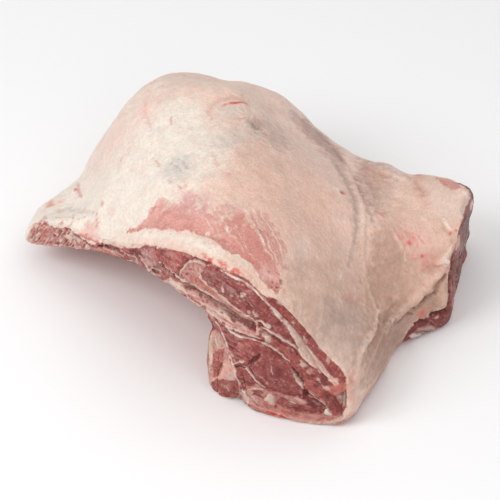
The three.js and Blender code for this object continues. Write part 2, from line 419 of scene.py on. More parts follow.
class Canvas:
    """What is laid on a surface.

    Each layer holds red, green, blue and how lean the place is. opening is how far inside an opening of
    the cover a point is, in pixels of the photo, and it is below 0 outside.
    """

    FAR = 6.0

    def __init__(self, points: Array, cover: Array) -> None:
        """Starts a surface.

        Args:
            points: its points, in millimetres.
            cover: the cover's tint for each point.
        """
        count = len(points)
        self.points = points
        self.layers = {
            Layer.COVER: np.column_stack([cover, np.zeros(count)]),
            Layer.FLESH: np.tile(np.append(Tint.LEAN.linear, 1.0), (count, 1)),
        }
        self.opening = np.full(count, -self.FAR)
        self.spongy = np.zeros(count)
        self.lift = np.zeros(count)
        self.edge_noise = Grain(11).layered(points, 2.6, 3)
        self.break_noise = Grain(12).layered(points, 3.6, 2)
        self.width_noise = 1.0 + 0.5 * Grain(13).layered(points, 3.0, 2)

    def wash(self, tint: Tint, share: Array, layer: Layer = Layer.COVER) -> None:
        """Blends one tint into a layer by a share for each point."""
        held = self.layers[layer]
        held[:, :3] = mix(held[:, :3], tint.linear, share)

    def enrich(self, lean: float, share: Array, layer: Layer = Layer.COVER) -> None:
        """Moves how lean a layer is towards a value by a share for each point."""
        held = self.layers[layer]
        held[:, 3] = mix(held[:, 3], lean, share)

    def cut_open(self, mark: Mark, seen: Array, limit: Array, steep: Array | float = 1.0) -> None:
        """Opens the cover inside an outline.

        Args:
            mark: the outline.
            seen: rows of two coordinates for the points, in the outline's units.
            limit: from 0 to 1 for each point, where it may open.
            steep: how sharply it opens. Below 1 the edge is feathered.
        """
        near = mark.near(seen, self.FAR)
        away = mark.distance(seen[near])[0] + mark.ragged * self.edge_noise[near]
        inside = np.full(len(seen), -self.FAR)
        inside[near] = np.clip(-away * np.broadcast_to(steep, (len(seen),))[near], -self.FAR, self.FAR)
        self.opening = np.maximum(self.opening, inside - 2 * self.FAR * (1.0 - limit))
        self.lift[near] += mark.relief * ramp(-away, 0.0, 3.0) * limit[near]

    def lay(self, marks: tuple[Mark, ...], seen: Array, limit: Array, layer: Layer = Layer.COVER) -> None:
        """Lays marks on the surface, the later over the earlier.

        Args:
            marks: the marks.
            seen: rows of two coordinates for the points, in the marks' units.
            limit: from 0 to 1 for each point, how far marks show there.
            layer: the layer they are laid on.
        """
        held = self.layers[layer]
        for mark in marks:
            near = mark.near(seen)
            near = near[limit[near] > 0.01]
            if not len(near):
                continue
            away, taper = mark.distance(seen[near])
            away = away + mark.wobble() * self.edge_noise[near]
            if mark.kind is Kind.LINE:
                cover = ramp(away / (mark.reach * taper * self.width_noise[near]), 1.3, 0.35)
                rise = cover
            else:
                cover = ramp(away, 0.5 * mark.reach, -0.5 * mark.reach)
                rise = ramp(away, 0.5 * mark.reach, -max(mark.dome, 0.5 * mark.reach))
            if mark.broken:
                cover = cover * ramp(self.break_noise[near], mark.broken * 2 - 1.3, mark.broken * 2 - 0.7)
                rise = rise * cover
            share = cover * limit[near] * mark.amount * np.clip(0.92 + 0.3 * self.break_noise[near], 0.5, 1.0)
            if mark.tint is not None:
                held[near, :3] = mix(held[near, :3], mark.tint.linear, share)
            if mark.lean is not None:
                held[near, 3] = mix(held[near, 3], mark.lean, share)
            if mark.spongy is not None:
                self.spongy[near] = mix(self.spongy[near], mark.spongy, share)
            self.lift[near] += mark.relief * rise * limit[near]


# ---- what shows on the fat side, in the photo's pixels --------------------------------------------

# The fat's broad tones: cream on the dome, rosy beige and tan further back. The tans, deep tans and shaded
# tans on the slopes facing right, away from the light, are partly the fat's own colour and partly painted
# shade.
FAT_TONE_AND_SLOPE_SHADE = (
    spot(Tint.CREAM, 40, 125, 190, 70, 45, -30, ragged=0),
    spot(Tint.CREAM, 30, 190, 150, 45, 34, 0, amount=0.8, ragged=0),
    spot(Tint.WARM_FAT, 22, 128, 118, 14, 50, 28, amount=0.75, ragged=2),
    beige_spot(24, 205, 88, 46, 14, 5, amount=0.8, ragged=2, relief=0),
    beige_spot(18, 230, 112, 26, 22, 0, amount=0.8, ragged=1, relief=0),
    spot(Tint.ROSY_BEIGE, 40, 285, 205, 62, 46, 40, ragged=2),
    spot(Tint.ROSY_BEIGE, 30, 310, 250, 50, 30, 60, amount=0.8, ragged=2),
    spot(Tint.TAN, 26, 325, 300, 50, 34, 55, amount=0.75, ragged=2),
    spot(Tint.GREY_TAN, 22, 345, 330, 30, 24, 60, amount=0.8, ragged=2),
    spot(Tint.TAN, 22, 392, 270, 26, 70, 12, amount=0.9, ragged=2),
    spot(Tint.DEEP_TAN, 20, 383, 345, 20, 44, 24, amount=0.8, ragged=2),
    spot(Tint.ROSY_BEIGE, 20, 425, 215, 40, 34, 30, amount=0.7, ragged=2),
    beige_spot(16, 452, 200, 22, 18, 30, amount=0.7, ragged=1, relief=0),
    spot(Tint.CREAM, 14, 62, 212, 40, 16, -30, amount=0.7, ragged=1),
    spot(Tint.DEEP_TAN, 16, 374, 184, 18, 26, -28, amount=0.8, ragged=2),
    spot(Tint.DEEP_TAN, 18, 388, 262, 16, 44, 12, amount=0.6, ragged=2),
    spot(Tint.SHADED_TAN, 18, 388, 336, 15, 36, 24, amount=0.6, ragged=2),
    spot(Tint.WARM_FAT, 12, 302, 249, 10, 13, 0, amount=0.85, ragged=3),
    spot(Tint.WARM_FAT, 10, 250, 99, 14, 7, 15, amount=0.6, ragged=2),
    spot(Tint.DEEP_TAN, 8, 421, 190, 9, 5, 40, amount=0.4, ragged=2),
    spot(Tint.RED_FAT, 10, 431, 262, 9, 12, 30, amount=0.3, ragged=3),
    spot(Tint.DEEP_TAN, 12, 431, 262, 9, 12, 30, amount=0.3, ragged=2),
    spot(Tint.COOL_GREY, 14, 446, 202, 24, 14, 30, amount=0.3, ragged=2),
    spot(Tint.TAN, 12, 424, 290, 16, 26, 40, amount=0.6, ragged=2),
)

# Painted shade: grey, grey-tan and brown-grey in the hollows and grooves of the fat, with sunken relief. Beige
# lumps with raised relief sit lighter among them. The other tints here are the fat's own colour.
FAT_HOLLOW_SHADE_AND_LUMPS = (
    beige_spot(16, 345, 300, 12, 8, 20, dome=6),
    spot(Tint.GREY, 10, 330, 303, 9, 5, 30, amount=0.35, ragged=3, relief=-0.7),
    spot(Tint.GREY, 10, 346, 318, 14, 6, 5, amount=0.4, ragged=3, relief=-0.8),
    beige_spot(12, 318, 285, 10, 12, 0, amount=0.45, relief=0.7, dome=6),
    beige_spot(12, 356, 290, 8, 6, 0, dome=4),
    spot(Tint.BROWN_GREY, 8, 350, 301, 7, 3, 10, amount=0.28, ragged=2),
    spot(Tint.GREY_TAN, 10, 300, 265, 10, 12, 0, amount=0.35, ragged=4, relief=-0.5),
    beige_spot(12, 330, 255, 14, 10, 20, amount=0.4, relief=0.6, dome=6),
    line(Tint.GREY_TAN, 9, 292, 114, 308, 128, 322, 141, 334, 153, 345, 168, amount=0.75, ragged=0.8),
    line(Tint.MAUVE, 8, 300, 120, 314, 134, 330, 150, 343, 163, amount=0.3, ragged=0.8),
    line(Tint.GREY, 5.5, 302, 120, 312, 131, 322, 141, 332, 151, 342, 159, amount=0.55, ragged=0.6,
        relief=-0.4),
    brown_grey_line(2, 318, 132, 328, 142, 338, 153, 348, 164, amount=0.3, ragged=0.5, relief=-0.4),
    line(Tint.GREY_TAN, 5, 334, 160, 345, 178, 353, 195, 357, 213, 357, 230, 354, 246, 349, 266, amount=0.6,
        ragged=0.8, relief=-0.5),
    line(Tint.GREY, 2.2, 337, 165, 346.4, 180, 354, 196, 357, 213, 357, 229.5, 354.7, 242, amount=0.4,
        ragged=0.6, relief=-0.5),
    spot(Tint.GREY, 6, 257, 124, 8, 5, 35, amount=0.75, ragged=1.5, relief=-1.6),
    spot(Tint.GREY_TAN, 12, 270, 134, 22, 10, 35, amount=0.75, ragged=2, relief=-0.8),
    spot(Tint.COOL_GREY, 12, 236, 138, 18, 9, -12, amount=0.65, ragged=2),
    spot(Tint.COOL_GREY, 10, 179, 166, 16, 11, -30, amount=0.6, ragged=3, relief=-0.5),
    spot(Tint.GREY_TAN, 12, 262, 160, 26, 10, 30, amount=0.35, ragged=3),
    spot(Tint.BLUSH, 16, 108, 140, 10, 40, 26, amount=0.55, ragged=3),
    spot(Tint.BLUSH, 12, 150, 108, 12, 20, 30, amount=0.45, ragged=3),
    spot(Tint.BLUSH, 12, 165, 232, 20, 6, 0, amount=0.2, ragged=2),
    spot(Tint.ROSY_BEIGE, 16, 255, 160, 30, 14, 60, amount=0.55, ragged=4),
    spot(Tint.GREY_TAN, 14, 352, 312, 16, 12, 20, amount=0.5, ragged=3, relief=-0.9),
    spot(Tint.GREY_TAN, 10, 322, 322, 10, 22, 20, amount=0.35, ragged=3),
    spot(Tint.RED_FAT, 9, 351, 299, 9, 5, 10, amount=0.3, ragged=3),
    beige_spot(10, 340, 275, 11, 8, 0, relief=0.7),
    spot(Tint.TAN, 8, 362, 262, 7, 20, 0, amount=0.35, ragged=2, relief=-0.6),
    spot(Tint.PALE_PINK, 16, 415, 240, 24, 17, 30, amount=0.45, ragged=3),
    soft_blood_spot(9, 408, 238, 10, 7, 40, amount=0.28, ragged=3),
    soft_blood_spot(6, 419, 256, 8, 4, -20, amount=0.28, ragged=3),
)

PINK_OUTLINE = patch(Tint.PINK_LEAN, 3.5, 125, 233, 129, 226, 134, 229, 140, 223, 146, 219, 148, 209, 156,
    203, 164, 198, 171, 203, 179, 200, 181, 187, 191, 191, 202, 192, 212, 199, 226, 200, 235, 206, 251, 209,
    261, 214, 269, 224, 276, 238, 282, 257, 284, 285, 277, 295, 268, 287, 258, 275, 248, 263, 232, 253, 217,
    244, 203, 237, 191, 232, 175, 230, 158, 229, 142, 230, ragged=1.5, relief=-0.5, lean=0.55)

PINK_MUSCLE = (
    spot(Tint.PINK_LEAN, 5, 205, 240, 120, 90, 0, ragged=0, lean=0.55),
    spot(Tint.PALE_PINK, 12, 152, 216, 16, 9, -35, amount=0.55, ragged=3, lean=0.4),
    spot(Tint.MAUVE, 12, 200, 203, 30, 13, 12, amount=0.85, ragged=4, lean=0.4),
    spot(Tint.MAUVE, 12, 190, 194, 18, 7, 10, amount=0.5, ragged=4, lean=0.3),
    spot(Tint.DEEP_PINK, 12, 252, 246, 28, 15, 50, amount=0.9, ragged=3, lean=0.75),
    spot(Tint.DEEP_PINK, 9, 236, 224, 18, 9, 40, amount=0.6, ragged=3, lean=0.6),
    spot(Tint.PINK_LEAN, 8, 180, 222, 26, 6, 5, amount=0.8, ragged=2, lean=0.6),
    spot(Tint.PALE_PINK, 8, 268, 275, 9, 6, 50, amount=0.8, ragged=3, lean=0.2),
    spot(Tint.DEEP_PINK, 4, 270, 284, 5, 4, 60, amount=0.6, ragged=2, lean=0.6),
    line(Tint.WARM_FAT, 6, 184, 186, 196, 190, 212, 198, 228, 200, 244, 208, amount=0.75, ragged=3, lean=0.1),
    beige_line(7, 232, 200, 254, 206, 271, 222, 281, 242, 288, 266, amount=0.8, ragged=3, relief=0, lean=0.1),
    line(Tint.ROSY_BEIGE, 5, 284, 262, 286, 280, 280, 296, amount=0.8, ragged=3, lean=0.1),
    line(Tint.BLUSH, 5, 150, 207, 160, 201, 172, 202, amount=0.5, ragged=3, lean=0.2),
    fascia_line(0.8, 214, 212, 226, 226, 236, 240, 247, 256, amount=0.5, ragged=0.3, relief=0.2, lean=None),
    fascia_line(0.9, 204, 214, 211, 228, 216, 240, relief=0.2, lean=None),
    white_fascia_line(1.2, 253, 210, 262, 226, 270, 243, 277, 262, amount=0.75, ragged=0.8),
    fascia_line(1, 247, 213, 256, 228, 264, 243, 272, 260, ragged=0.8, relief=0.25, lean=None),
    fascia_line(1, 258, 214, 268, 228, 277, 248, amount=0.5, ragged=0.8, relief=0.2, lean=None),
    red_fat_line(1.2, 260, 222, 268, 236, 274, 252, amount=0.4),
    fascia_spot(3, 199, 203, 7, 4, 60, ragged=2.5, lean=None),
    fascia_spot(3, 213, 208, 6, 3, -40, ragged=2.5, lean=None),
    fascia_spot(3, 222, 218, 8, 2, -50, ragged=2, lean=None),
    spot(Tint.WHITE_FASCIA, 2, 208, 234, 3, 2, 0, amount=0.8, ragged=1, relief=0.4),
    spot(Tint.WHITE_FASCIA, 2, 228, 229, 3, 1.5, 30, amount=0.8, ragged=1, relief=0.4),
    fascia_spot(2, 231, 213, 3, 2, 30, ragged=1.5, lean=None),
    fascia_spot(2, 222, 200, 5, 1.5, 40, ragged=1.5, lean=None),
    fascia_spot(2, 217, 237, 3.5, 2.5, 0, amount=0.5, ragged=1.5, relief=0, lean=None),
    fascia_spot(3, 167, 205, 3, 6, 10, amount=0.5, ragged=2, relief=0, lean=None),
    fascia_spot(2, 251, 222, 3, 2, 0, amount=0.5, ragged=1.5, relief=0, lean=None),
)

PINK_STREAKS = (
    line(Tint.DEEP_PINK, 6, 258, 214, 268, 230, 277, 248, 284, 266, amount=0.5, ragged=1.6),
    line(Tint.PINK_LEAN, 3, 264, 213, 274, 230, 283, 250, 288, 268, amount=0.5, ragged=1.4),
    white_fascia_line(0.6, 260, 211, 270, 227, 279, 245, 287, 264, amount=0.7, ragged=0.3),
    white_fascia_line(0.7, 245, 208, 254, 221, 262, 237, 267, 250, ragged=0.3),
    fascia_line(0.7, 253, 209, 262, 222, 270, 238, 278, 256, ragged=0.3, relief=0.25, lean=None),
    fascia_line(0.6, 248, 212, 257, 226, 265, 242, 271, 256, amount=0.5, ragged=0.4, relief=0.2, lean=None),
    fascia_line(0.6, 230, 224, 238, 233, 246, 246, 254, 260, amount=0.5, ragged=0.4, relief=0.2, lean=None),
    fascia_line(0.6, 208, 212, 215, 224, 219, 238, amount=0.4, ragged=0.5, lean=None),
    red_fat_line(0.9, 268, 214, 278, 232, 288, 254, amount=0.4, broken=0.2),
    spot(Tint.PALE_PINK, 5, 240, 185, 16, 4, 25, amount=0.35, ragged=3),
    spot(Tint.RED_FAT, 3, 283, 292, 4, 3, 40, amount=0.4, ragged=1.5),
)

PINK_RIM = line(None, 8, 134, 233, 142, 230, 158, 229, 175, 230, 191, 232, 203, 237, 217, 244, 232, 253, 248,
    263, 258, 275, 268, 287, 277, 295)

FROSTED = (
    spot(None, 4, 204, 208, 26, 11, 18),
    spot(None, 4, 228, 222, 20, 9, 42),
    spot(None, 4, 252, 222, 12, 9, 50),
)

RIM_BAND = (
    line(Tint.RIM_FAT, 9, 112, 243, 130, 239, 150, 237, 172, 238, 192, 242, 212, 250, 232, 261, 250, 273,
        266, 286, amount=0.9, ragged=1.5, relief=0.7, lean=0),
    # Painted highlight: the cream line below runs along the middle of the band, where its rolled edge catches
    # the light.
    line(Tint.CREAM, 5, 140, 237, 160, 236, 180, 240, 198, 246, 214, 253, amount=0.7, ragged=2),
    line(Tint.ROSY_BEIGE, 7, 226, 258, 240, 268, 258, 281, 272, 296, 290, 318, amount=0.75, ragged=2),
    pink_fat_line(2.6, 108, 245, 120, 247, 133, 248.5, 146, 246.5, 160, 248, 184, 253, 207, 261, 222, 266,
        237, 273, 249, 280, 262, 292, ragged=1.2),
    line(Tint.BLUSH, 4, 120, 246, 140, 243, 165, 245, 190, 251, 212, 260, 235, 270, amount=0.35, ragged=2),
    line(Tint.BLOOD, 1.2, 206, 259, 215, 263, 224, 267, 233, 272, amount=0.8, ragged=1.6, broken=0.25),
    soft_blood_line(2.2, 204, 256.5, 216, 261, 228, 267, 238, 273, amount=0.6, ragged=2.2, broken=0.2),
    soft_blood_line(1.4, 102, 241, 112, 244, 123, 246, 133, 245, amount=0.45, ragged=1, broken=0.4),
    soft_blood_line(1.2, 196, 255, 210, 260, 228, 267, 246, 276, amount=0.55, ragged=1, broken=0.35),
    red_fat_line(1, 152, 233, 160, 230, 172, 229, amount=0.4, ragged=1.2, broken=0.4),
    line(Tint.WARM_FAT, 1.2, 150, 240, 170, 240, 190, 246, 208, 254, amount=0.6, ragged=1),
    pink_fat_line(1.2, 240, 268, 255, 281, 266, 293, amount=0.4, ragged=1.2, broken=0.3),
)

FLAP_MARKS = (
    patch(Tint.PALE_PINK, 3, 70, 240, 79, 230, 84, 228, 87, 222, 95, 220, 98, 212, 99, 222, 97, 230, 100,
        236, 98, 243, 88, 241, 80, 238, amount=0.75, ragged=2, relief=-0.4, lean=0.35),
    red_fat_line(1.6, 74, 234, 82, 236, 90, 240, 100, 243, amount=0.8, ragged=1, relief=0.3),
    red_fat_line(1.2, 97, 214, 97, 222, 95, 228, amount=0.6, ragged=1),
    red_fat_line(1.3, 74, 215, 72, 222, 68, 227, relief=-0.3),
    white_fascia_line(1.4, 61, 216, 66, 212, 72, 213, 74, 217, ragged=0.5, relief=0.5),
    line(Tint.CREAM, 2.4, 72, 231, 75, 222, 82, 220, 88, 216, amount=0.8, ragged=1, relief=0.9),
    red_fat_line(1.2, 79, 220, 83, 218, 86, 217, amount=0.8, ragged=0.5, relief=-0.4),
    pink_fat_spot(4, 50, 204, 6, 3, -30, ragged=2),
    pink_fat_spot(3, 60, 202, 5, 2, -25, ragged=2),
    soft_blood_line(1, 46, 207, 52, 205, 61, 203, ragged=1),
    soft_blood_spot(1.5, 75.5, 190, 1.5, 1.5, 0, amount=0.8, ragged=0.6),
    soft_blood_line(1.8, 78, 184, 79, 191, 81, 197, ragged=1, relief=-0.5),
    white_fascia_line(1.3, 81, 189, 84, 195, amount=0.8, ragged=0.5, relief=0.5),
    line(Tint.GREY_TAN, 2.5, 58, 211, 70, 209, 82, 211, 92, 211, amount=0.4, ragged=1.2, relief=-0.5),
    soft_blood_spot(1.6, 103, 204, 1.6, 2, 0, amount=0.55, ragged=0.8),
    spot(Tint.BLUSH, 4, 111, 211, 4, 5, 0, amount=0.6, ragged=2),
    red_fat_line(1.2, 38, 222, 42, 219, 45, 217, 47, 222),
    spot(Tint.RED_FAT, 2, 62, 224, 4, 2, -20, amount=0.6, ragged=1.5),
)

DOME_MARKS = (
    red_fat_line(4.2, 212, 118, 210, 110, 215, 103, 225, 99, 238, 98, 248, 103, amount=0.3, ragged=1.5),
    soft_blood_line(1.5, 222, 107, 230, 104, 238, 102.5, 247, 103, amount=0.85, ragged=0.7, relief=-0.5),
    line(Tint.BLOOD, 1, 231, 103.8, 237, 102.6, 242, 102.8, amount=0.8, ragged=0.4),
    soft_blood_line(1.2, 238, 118.5, 243, 119, 248, 116, amount=0.6, ragged=0.7, relief=-0.3),
    # Painted shade: cool grey on the lower side of the knob.
    spot(Tint.COOL_GREY, 8, 226, 113, 12, 7, 0, amount=0.45, ragged=2),
    line(None, 3, 209, 116, 210, 106, 218, 99, 232, 96, 246, 100, 251, 110, 248, 122, ragged=1, relief=-0.7),
    spot(None, 16, 229, 111, 15, 12, 0, ragged=1, relief=1, dome=8),
    crease_shade_and_tan_seam_line(1.4, 253, 119, 257, 125, 262, 127, 267, 133),
    white_fascia_line(1, 255, 128, 260, 130, 266, 129, ragged=0.8, relief=0.4),
    red_fat_line(1, 172, 117, 171, 121, 171.5, 124, amount=0.65, ragged=0.4, relief=-0.4),
    soft_blood_line(0.8, 153, 158, 157, 162, 160, 166, ragged=0.5),
    soft_blood_line(0.9, 122, 157, 121, 161, 118, 166, amount=0.4),
    line(Tint.BLUSH, 3, 146, 100, 146, 112, 150, 124, amount=0.6, ragged=1.5),
    pink_fat_line(1.2, 146, 103, 145, 112, 149, 123, amount=0.4, ragged=1.2),
    soft_blood_line(1, 211, 152, 215, 160, 218, 166, amount=0.35),
    soft_blood_spot(1.5, 229, 174.5, 2, 1.2, 20),
    spot(Tint.BLUSH, 4, 226, 178, 7, 3, 20, amount=0.6, ragged=2),
    spot(Tint.MAUVE, 2, 170, 182, 2, 1.5, 0, amount=0.5, ragged=0.8),
    line(Tint.GREY, 1, 178, 158, 184, 163, 187, 168, amount=0.4, ragged=0.8, relief=-0.3),
    line(Tint.GREY, 1.2, 170, 161, 176, 166, 184, 172, amount=0.35, ragged=1, relief=-0.3),
    line(Tint.BLUSH, 2, 118, 168, 130, 170, 142, 174, 156, 178, amount=0.4, ragged=2),
    line(None, 5, 105, 205, 112, 190, 122, 172, 130, 158, ragged=2, relief=0.7),
    line(None, 6, 128, 150, 142, 132, 152, 116, 160, 100, ragged=2, relief=-0.6),
    line(None, 6, 195, 178, 216, 166, 226, 152, 228, 138, ragged=2, relief=-0.6),
    line(None, 6, 176, 185, 200, 180, 222, 180, 240, 186, ragged=2, relief=0.6),
    dark_lean_line(1.6, 147, 82.5, 151, 79, 157, 75.5, amount=0.85, relief=0, lean=0.8),
    pink_fat_line(3, 150, 84, 156, 79, ragged=1),
)

DORSAL_MARKS = (
    beige_line(2, 344.8, 165.7, 353, 181.4, 358, 193, 362.2, 204.6, 363.4, 217, 363.8, 229.5, 363, 246, 364,
        262, 366, 276, 369, 292, ragged=1.1, relief=0.75),
    crease_shade_and_tan_seam_line(1.8, 354.7, 176.4, 361.4, 193, 368, 208, 374.6, 225.4, amount=0.45, ragged=0.9,
        relief=-0.5, broken=0.25),
    beige_line(1, 356, 168, 366, 186, 376, 206, amount=0.4, broken=0.3),
    line(Tint.SHADED_TAN, 0.8, 361, 168, 369, 182, 375, 196, amount=0.4, ragged=1, relief=-0.2, broken=0.35),
    beige_line(1.2, 370, 172, 382, 196, 390, 214, amount=0.35, ragged=1.2, broken=0.3),
    spot(Tint.GREY_TAN, 8, 375, 163, 14, 4, 20, amount=0.6, ragged=2),
    red_fat_line(0.9, 366, 166, 373, 171, 381, 175, 389, 178, amount=0.5, relief=-0.3),
    soft_blood_spot(1, 373.8, 177.7, 1.3, 0.9, 20, amount=0.7, ragged=0.4),
    soft_blood_spot(1, 366.3, 172.3, 1.2, 0.8, 0, ragged=0.4),
    line(Tint.WARM_FAT, 2.6, 377, 311, 375, 326, 369, 338, 364, 347, 359, 358, 357, 370, 352, 384,
        amount=0.7, ragged=0.8, relief=1.6),
    # Painted shade: the dark tan line below sits in the crease on the right of the raised fold.
    crease_shade_and_tan_seam_line(1.6, 380, 318, 378, 332, 371, 344, 367, 350, amount=0.75, ragged=0.6, relief=-1),
    beige_line(1.6, 369, 292, 374, 303, 378, 314, amount=0.6, ragged=0.8, relief=0.8),
    beige_line(2, 372, 330, 366, 336, 363, 345, amount=0.5, relief=0.6),
    white_fascia_line(1.5, 335, 187.5, 338, 190, 341, 192, amount=0.9, ragged=0.3, relief=0.8),
    soft_blood_line(1.3, 339, 191, 343, 193, 345.5, 194, amount=0.9, ragged=0.3, relief=-0.4),
    beige_line(1.3, 392, 229, 398, 240, 404, 252, 406, 262, amount=0.7, ragged=0.8, relief=0.7),
    crease_shade_and_tan_seam_line(1.6, 389, 231, 395, 243, 401, 255, 402, 266, amount=0.35, relief=-0.4),
    soft_blood_line(1.5, 379, 211, 383, 217, 386, 223),
    soft_blood_line(0.7, 404, 224, 409, 231, 411, 241, broken=0.2),
    soft_blood_line(0.7, 410, 246, 414, 252, 421, 256),
    soft_blood_line(0.7, 398, 236, 404, 243, 407, 251, amount=0.45, broken=0.2),
    soft_blood_line(0.6, 415, 234, 421, 240, 426, 248, amount=0.45, broken=0.2),
    soft_blood_line(0.6, 390, 226, 396, 232, 402, 234, amount=0.4),
    beige_line(0.8, 401, 230, 407, 240, 409, 250, ragged=0.8),
    beige_line(0.8, 414, 228, 418, 238, 426, 252, ragged=0.8),
    beige_line(0.8, 424, 240, 428, 250, 430, 262, ragged=0.8),
    soft_blood_spot(8, 396, 208, 10, 4, 60, amount=0.22, ragged=3),
    soft_blood_spot(8, 423, 198, 9, 4, 60, amount=0.25, ragged=3),
    soft_blood_spot(1.2, 375, 211, 2, 1, 0),
    beige_line(2.2, 378, 168, 390, 174, 402, 178, 412, 186, amount=0.5, ragged=1.5, relief=0.8),
    crease_shade_and_tan_seam_line(2, 402, 172, 412, 178, 420, 188, 425, 196, amount=0.45, ragged=1),
    beige_spot(14, 402, 205, 26, 14, 40, ragged=2, dome=10),
    soft_blood_spot(1.4, 409.5, 243, 2.5, 1.8, 40, amount=0.75, ragged=0.8),
    soft_blood_spot(1.2, 413, 238, 1.8, 1.4, 0, amount=0.7, ragged=0.8),
    spot(Tint.BLOOD, 1, 422.5, 256, 1.5, 1.2, 0, amount=0.7),
    soft_blood_spot(1, 417, 246, 1.2, 2.2, 10),
    pink_fat_line(1, 404, 246, 409, 252, 414, 258),
    beige_line(1.4, 421, 216, 427, 222, 433, 232, 437, 244, amount=0.5, relief=0.4),
    beige_line(1.2, 390, 318, 382, 334, 374, 352, 366, 372, amount=0.4, relief=0.5),
    crease_shade_and_tan_seam_line(1.6, 386, 318, 378, 338, 370, 356, amount=0.4, ragged=1, relief=-0.4),
    line(Tint.GREY_TAN, 1.4, 398, 322, 388, 340, 378, 360, 368, 382, amount=0.4, ragged=1, relief=0.4),
    white_fascia_line(1, 342, 271, 340, 276, 338, 280, amount=0.5, ragged=0.6),
    white_fascia_line(0.9, 347, 268, 345, 275, amount=0.4, ragged=0.6),
    beige_line(2.4, 318, 330, 322, 316, 322, 300, 318, 288, amount=0.3, ragged=2, relief=0.5),
    fascia_line(0.9, 300, 296, 301, 308, 299, 318, amount=0.5, ragged=0.8, relief=0.4, lean=None),
    beige_spot(6, 345, 350, 6, 9, 30, ragged=2, dome=4),
    beige_spot(6, 333, 336, 5, 10, 20, amount=0.3, ragged=2, relief=0.5, dome=4),
    spot(Tint.RED_FAT, 6, 350, 388, 5, 14, -8, amount=0.35, ragged=2),
    pink_fat_line(2.2, 354, 372, 349, 382, 347, 396, 348, 410, ragged=1.2),
)

NECK_MARKS = (
    patch(Tint.DEEP_PINK, 2, 436, 178, 447, 178, 458, 182.5, 461, 187, 457, 190, 450, 189, 443, 184,
        amount=0.9, ragged=1.2, relief=-0.4, lean=0.6),
    line(Tint.RIM_FAT, 2.2, 457, 189, 463, 191, 468, 196, 471, 203, amount=0.9, ragged=0.8, relief=0.6),
    pink_fat_line(1.2, 459, 187, 462, 191, amount=0.7, ragged=0.5),
    dark_lean_line(1.1, 461, 183.5, 467, 187.5, 472, 194, 474.5, 201, 475, 209, amount=0.95, relief=0,
        lean=0.8),
    white_fascia_line(1.8, 444, 219, 447, 225, 451, 230, amount=0.8, ragged=0.6, relief=0.6),
    crease_shade_and_tan_seam_line(1.4, 441, 220, 445, 229, 449, 234, ragged=0.6, relief=-0.8),
    spot(Tint.BLOOD, 1.2, 450.5, 233.5, 1.2, 2.4, 20, amount=0.85, ragged=0.4),
    spot(Tint.BLOOD, 1, 456, 231, 1, 1.6, 0, amount=0.8, ragged=0.4),
    soft_blood_line(1.4, 450, 238, 452, 246, ragged=0.6),
    line(Tint.WARM_FAT, 3, 452, 246, 446, 256, 438, 264, amount=0.75, ragged=1.2, relief=1.4),
    line(Tint.ROSY_BEIGE, 5, 447, 263, 438, 275, 428, 285, 420, 294, 411, 303, 403, 311, 397, 318,
        amount=0.5, ragged=1, relief=2.4),
    spot(Tint.CREAM, 2, 444.5, 261, 3.4, 3.4, 0, amount=0.6, ragged=1, relief=0.8),
    pink_fat_line(1, 436, 266, 431, 273, 437, 270, 444, 267, amount=0.45),
    # Painted shadow: the dark tan line, the deep tan patch and the brown-grey line below fill the groove and
    # the fold hollow under the bright ridge.
    crease_shade_and_tan_seam_line(2.6, 446, 275, 437.5, 285, 434.8, 293, 427, 298, 419, 307, 409, 311, 398, 322, amount=0.75,
        relief=-1.8),
    patch(Tint.DEEP_TAN, 2.5, 427, 298, 436, 294, 438, 303, 440, 309, 431, 313, 426, 318, 418, 319, 409, 325,
        399, 338, 392, 340, 398, 325, 409, 313, 418, 308, amount=0.7, ragged=1, relief=-0.6),
    patch(Tint.TAN, 1.5, 446.5, 275, 448, 291, 447.6, 301, 445.5, 307, 440, 309, 437.5, 303, 436.5, 293,
        438.5, 285, amount=0.9, ragged=0.6, relief=1.4, dome=4),
    spot(Tint.ROSY_BEIGE, 2, 443.5, 299, 2.4, 6, 8, amount=0.5, ragged=1, relief=0.4),
    spot(Tint.RED_FAT, 8, 430, 262, 7, 10, 30, amount=0.3, ragged=3),
    spot(Tint.DEEP_TAN, 3, 431, 304, 5, 6, 20, amount=0.45, ragged=1.5),
    crease_shade_and_tan_seam_line(1.3, 429, 297, 433, 303, 437, 308, amount=0.6),
    red_fat_line(1.6, 424, 301, 429, 306, 433, 311, amount=0.5, ragged=0.9, relief=0.4),
    line(Tint.TAN, 1.2, 441, 284, 440, 293, 441, 302, amount=0.6, ragged=0.8, relief=-0.5),
    # Painted shadow along the left edge of the tan flap.
    crease_shade_and_tan_seam_line(1.2, 446, 276, 440, 283, 437, 291, 436, 297, amount=0.7, ragged=0.4, relief=-0.9),
    brown_grey_line(1.4, 435.5, 293.6, 430.5, 296, 426.5, 297.8, 423, 302, 419, 307.5, amount=0.85,
        relief=-1),
    patch(Tint.RED_FAT, 2, 417, 311, 421, 308, 427, 306, 428, 314, 425, 318, 419, 318.5, 416, 316,
        amount=0.7, ragged=1.2, relief=0.4),
    line(Tint.BRIGHT_LEAN, 0.9, 421, 309, 422.5, 313, 420, 317, amount=0.5),
    # Painted shade: the brown-grey line and the dark dot below sit in a crease.
    brown_grey_line(1.2, 405.5, 311.5, 409.5, 313.5, 415, 314.3, amount=0.85, relief=-1.2),
    spot(Tint.DEEP_SHADE, 0.8, 415.6, 308.4, 1.3, 1, 0, amount=0.8, ragged=0.3, relief=-0.8),
    # Painted highlight: the short white line below.
    white_fascia_line(1.1, 394.5, 317, 393, 319.5, 391.3, 322, amount=0.85, relief=0.5),
    beige_line(2, 404, 306, 396, 314, 390, 324, 386, 334, amount=0.4, relief=0.9),
    crease_shade_and_tan_seam_line(1.6, 396, 304, 389, 312, 385, 322, relief=-0.8),
)

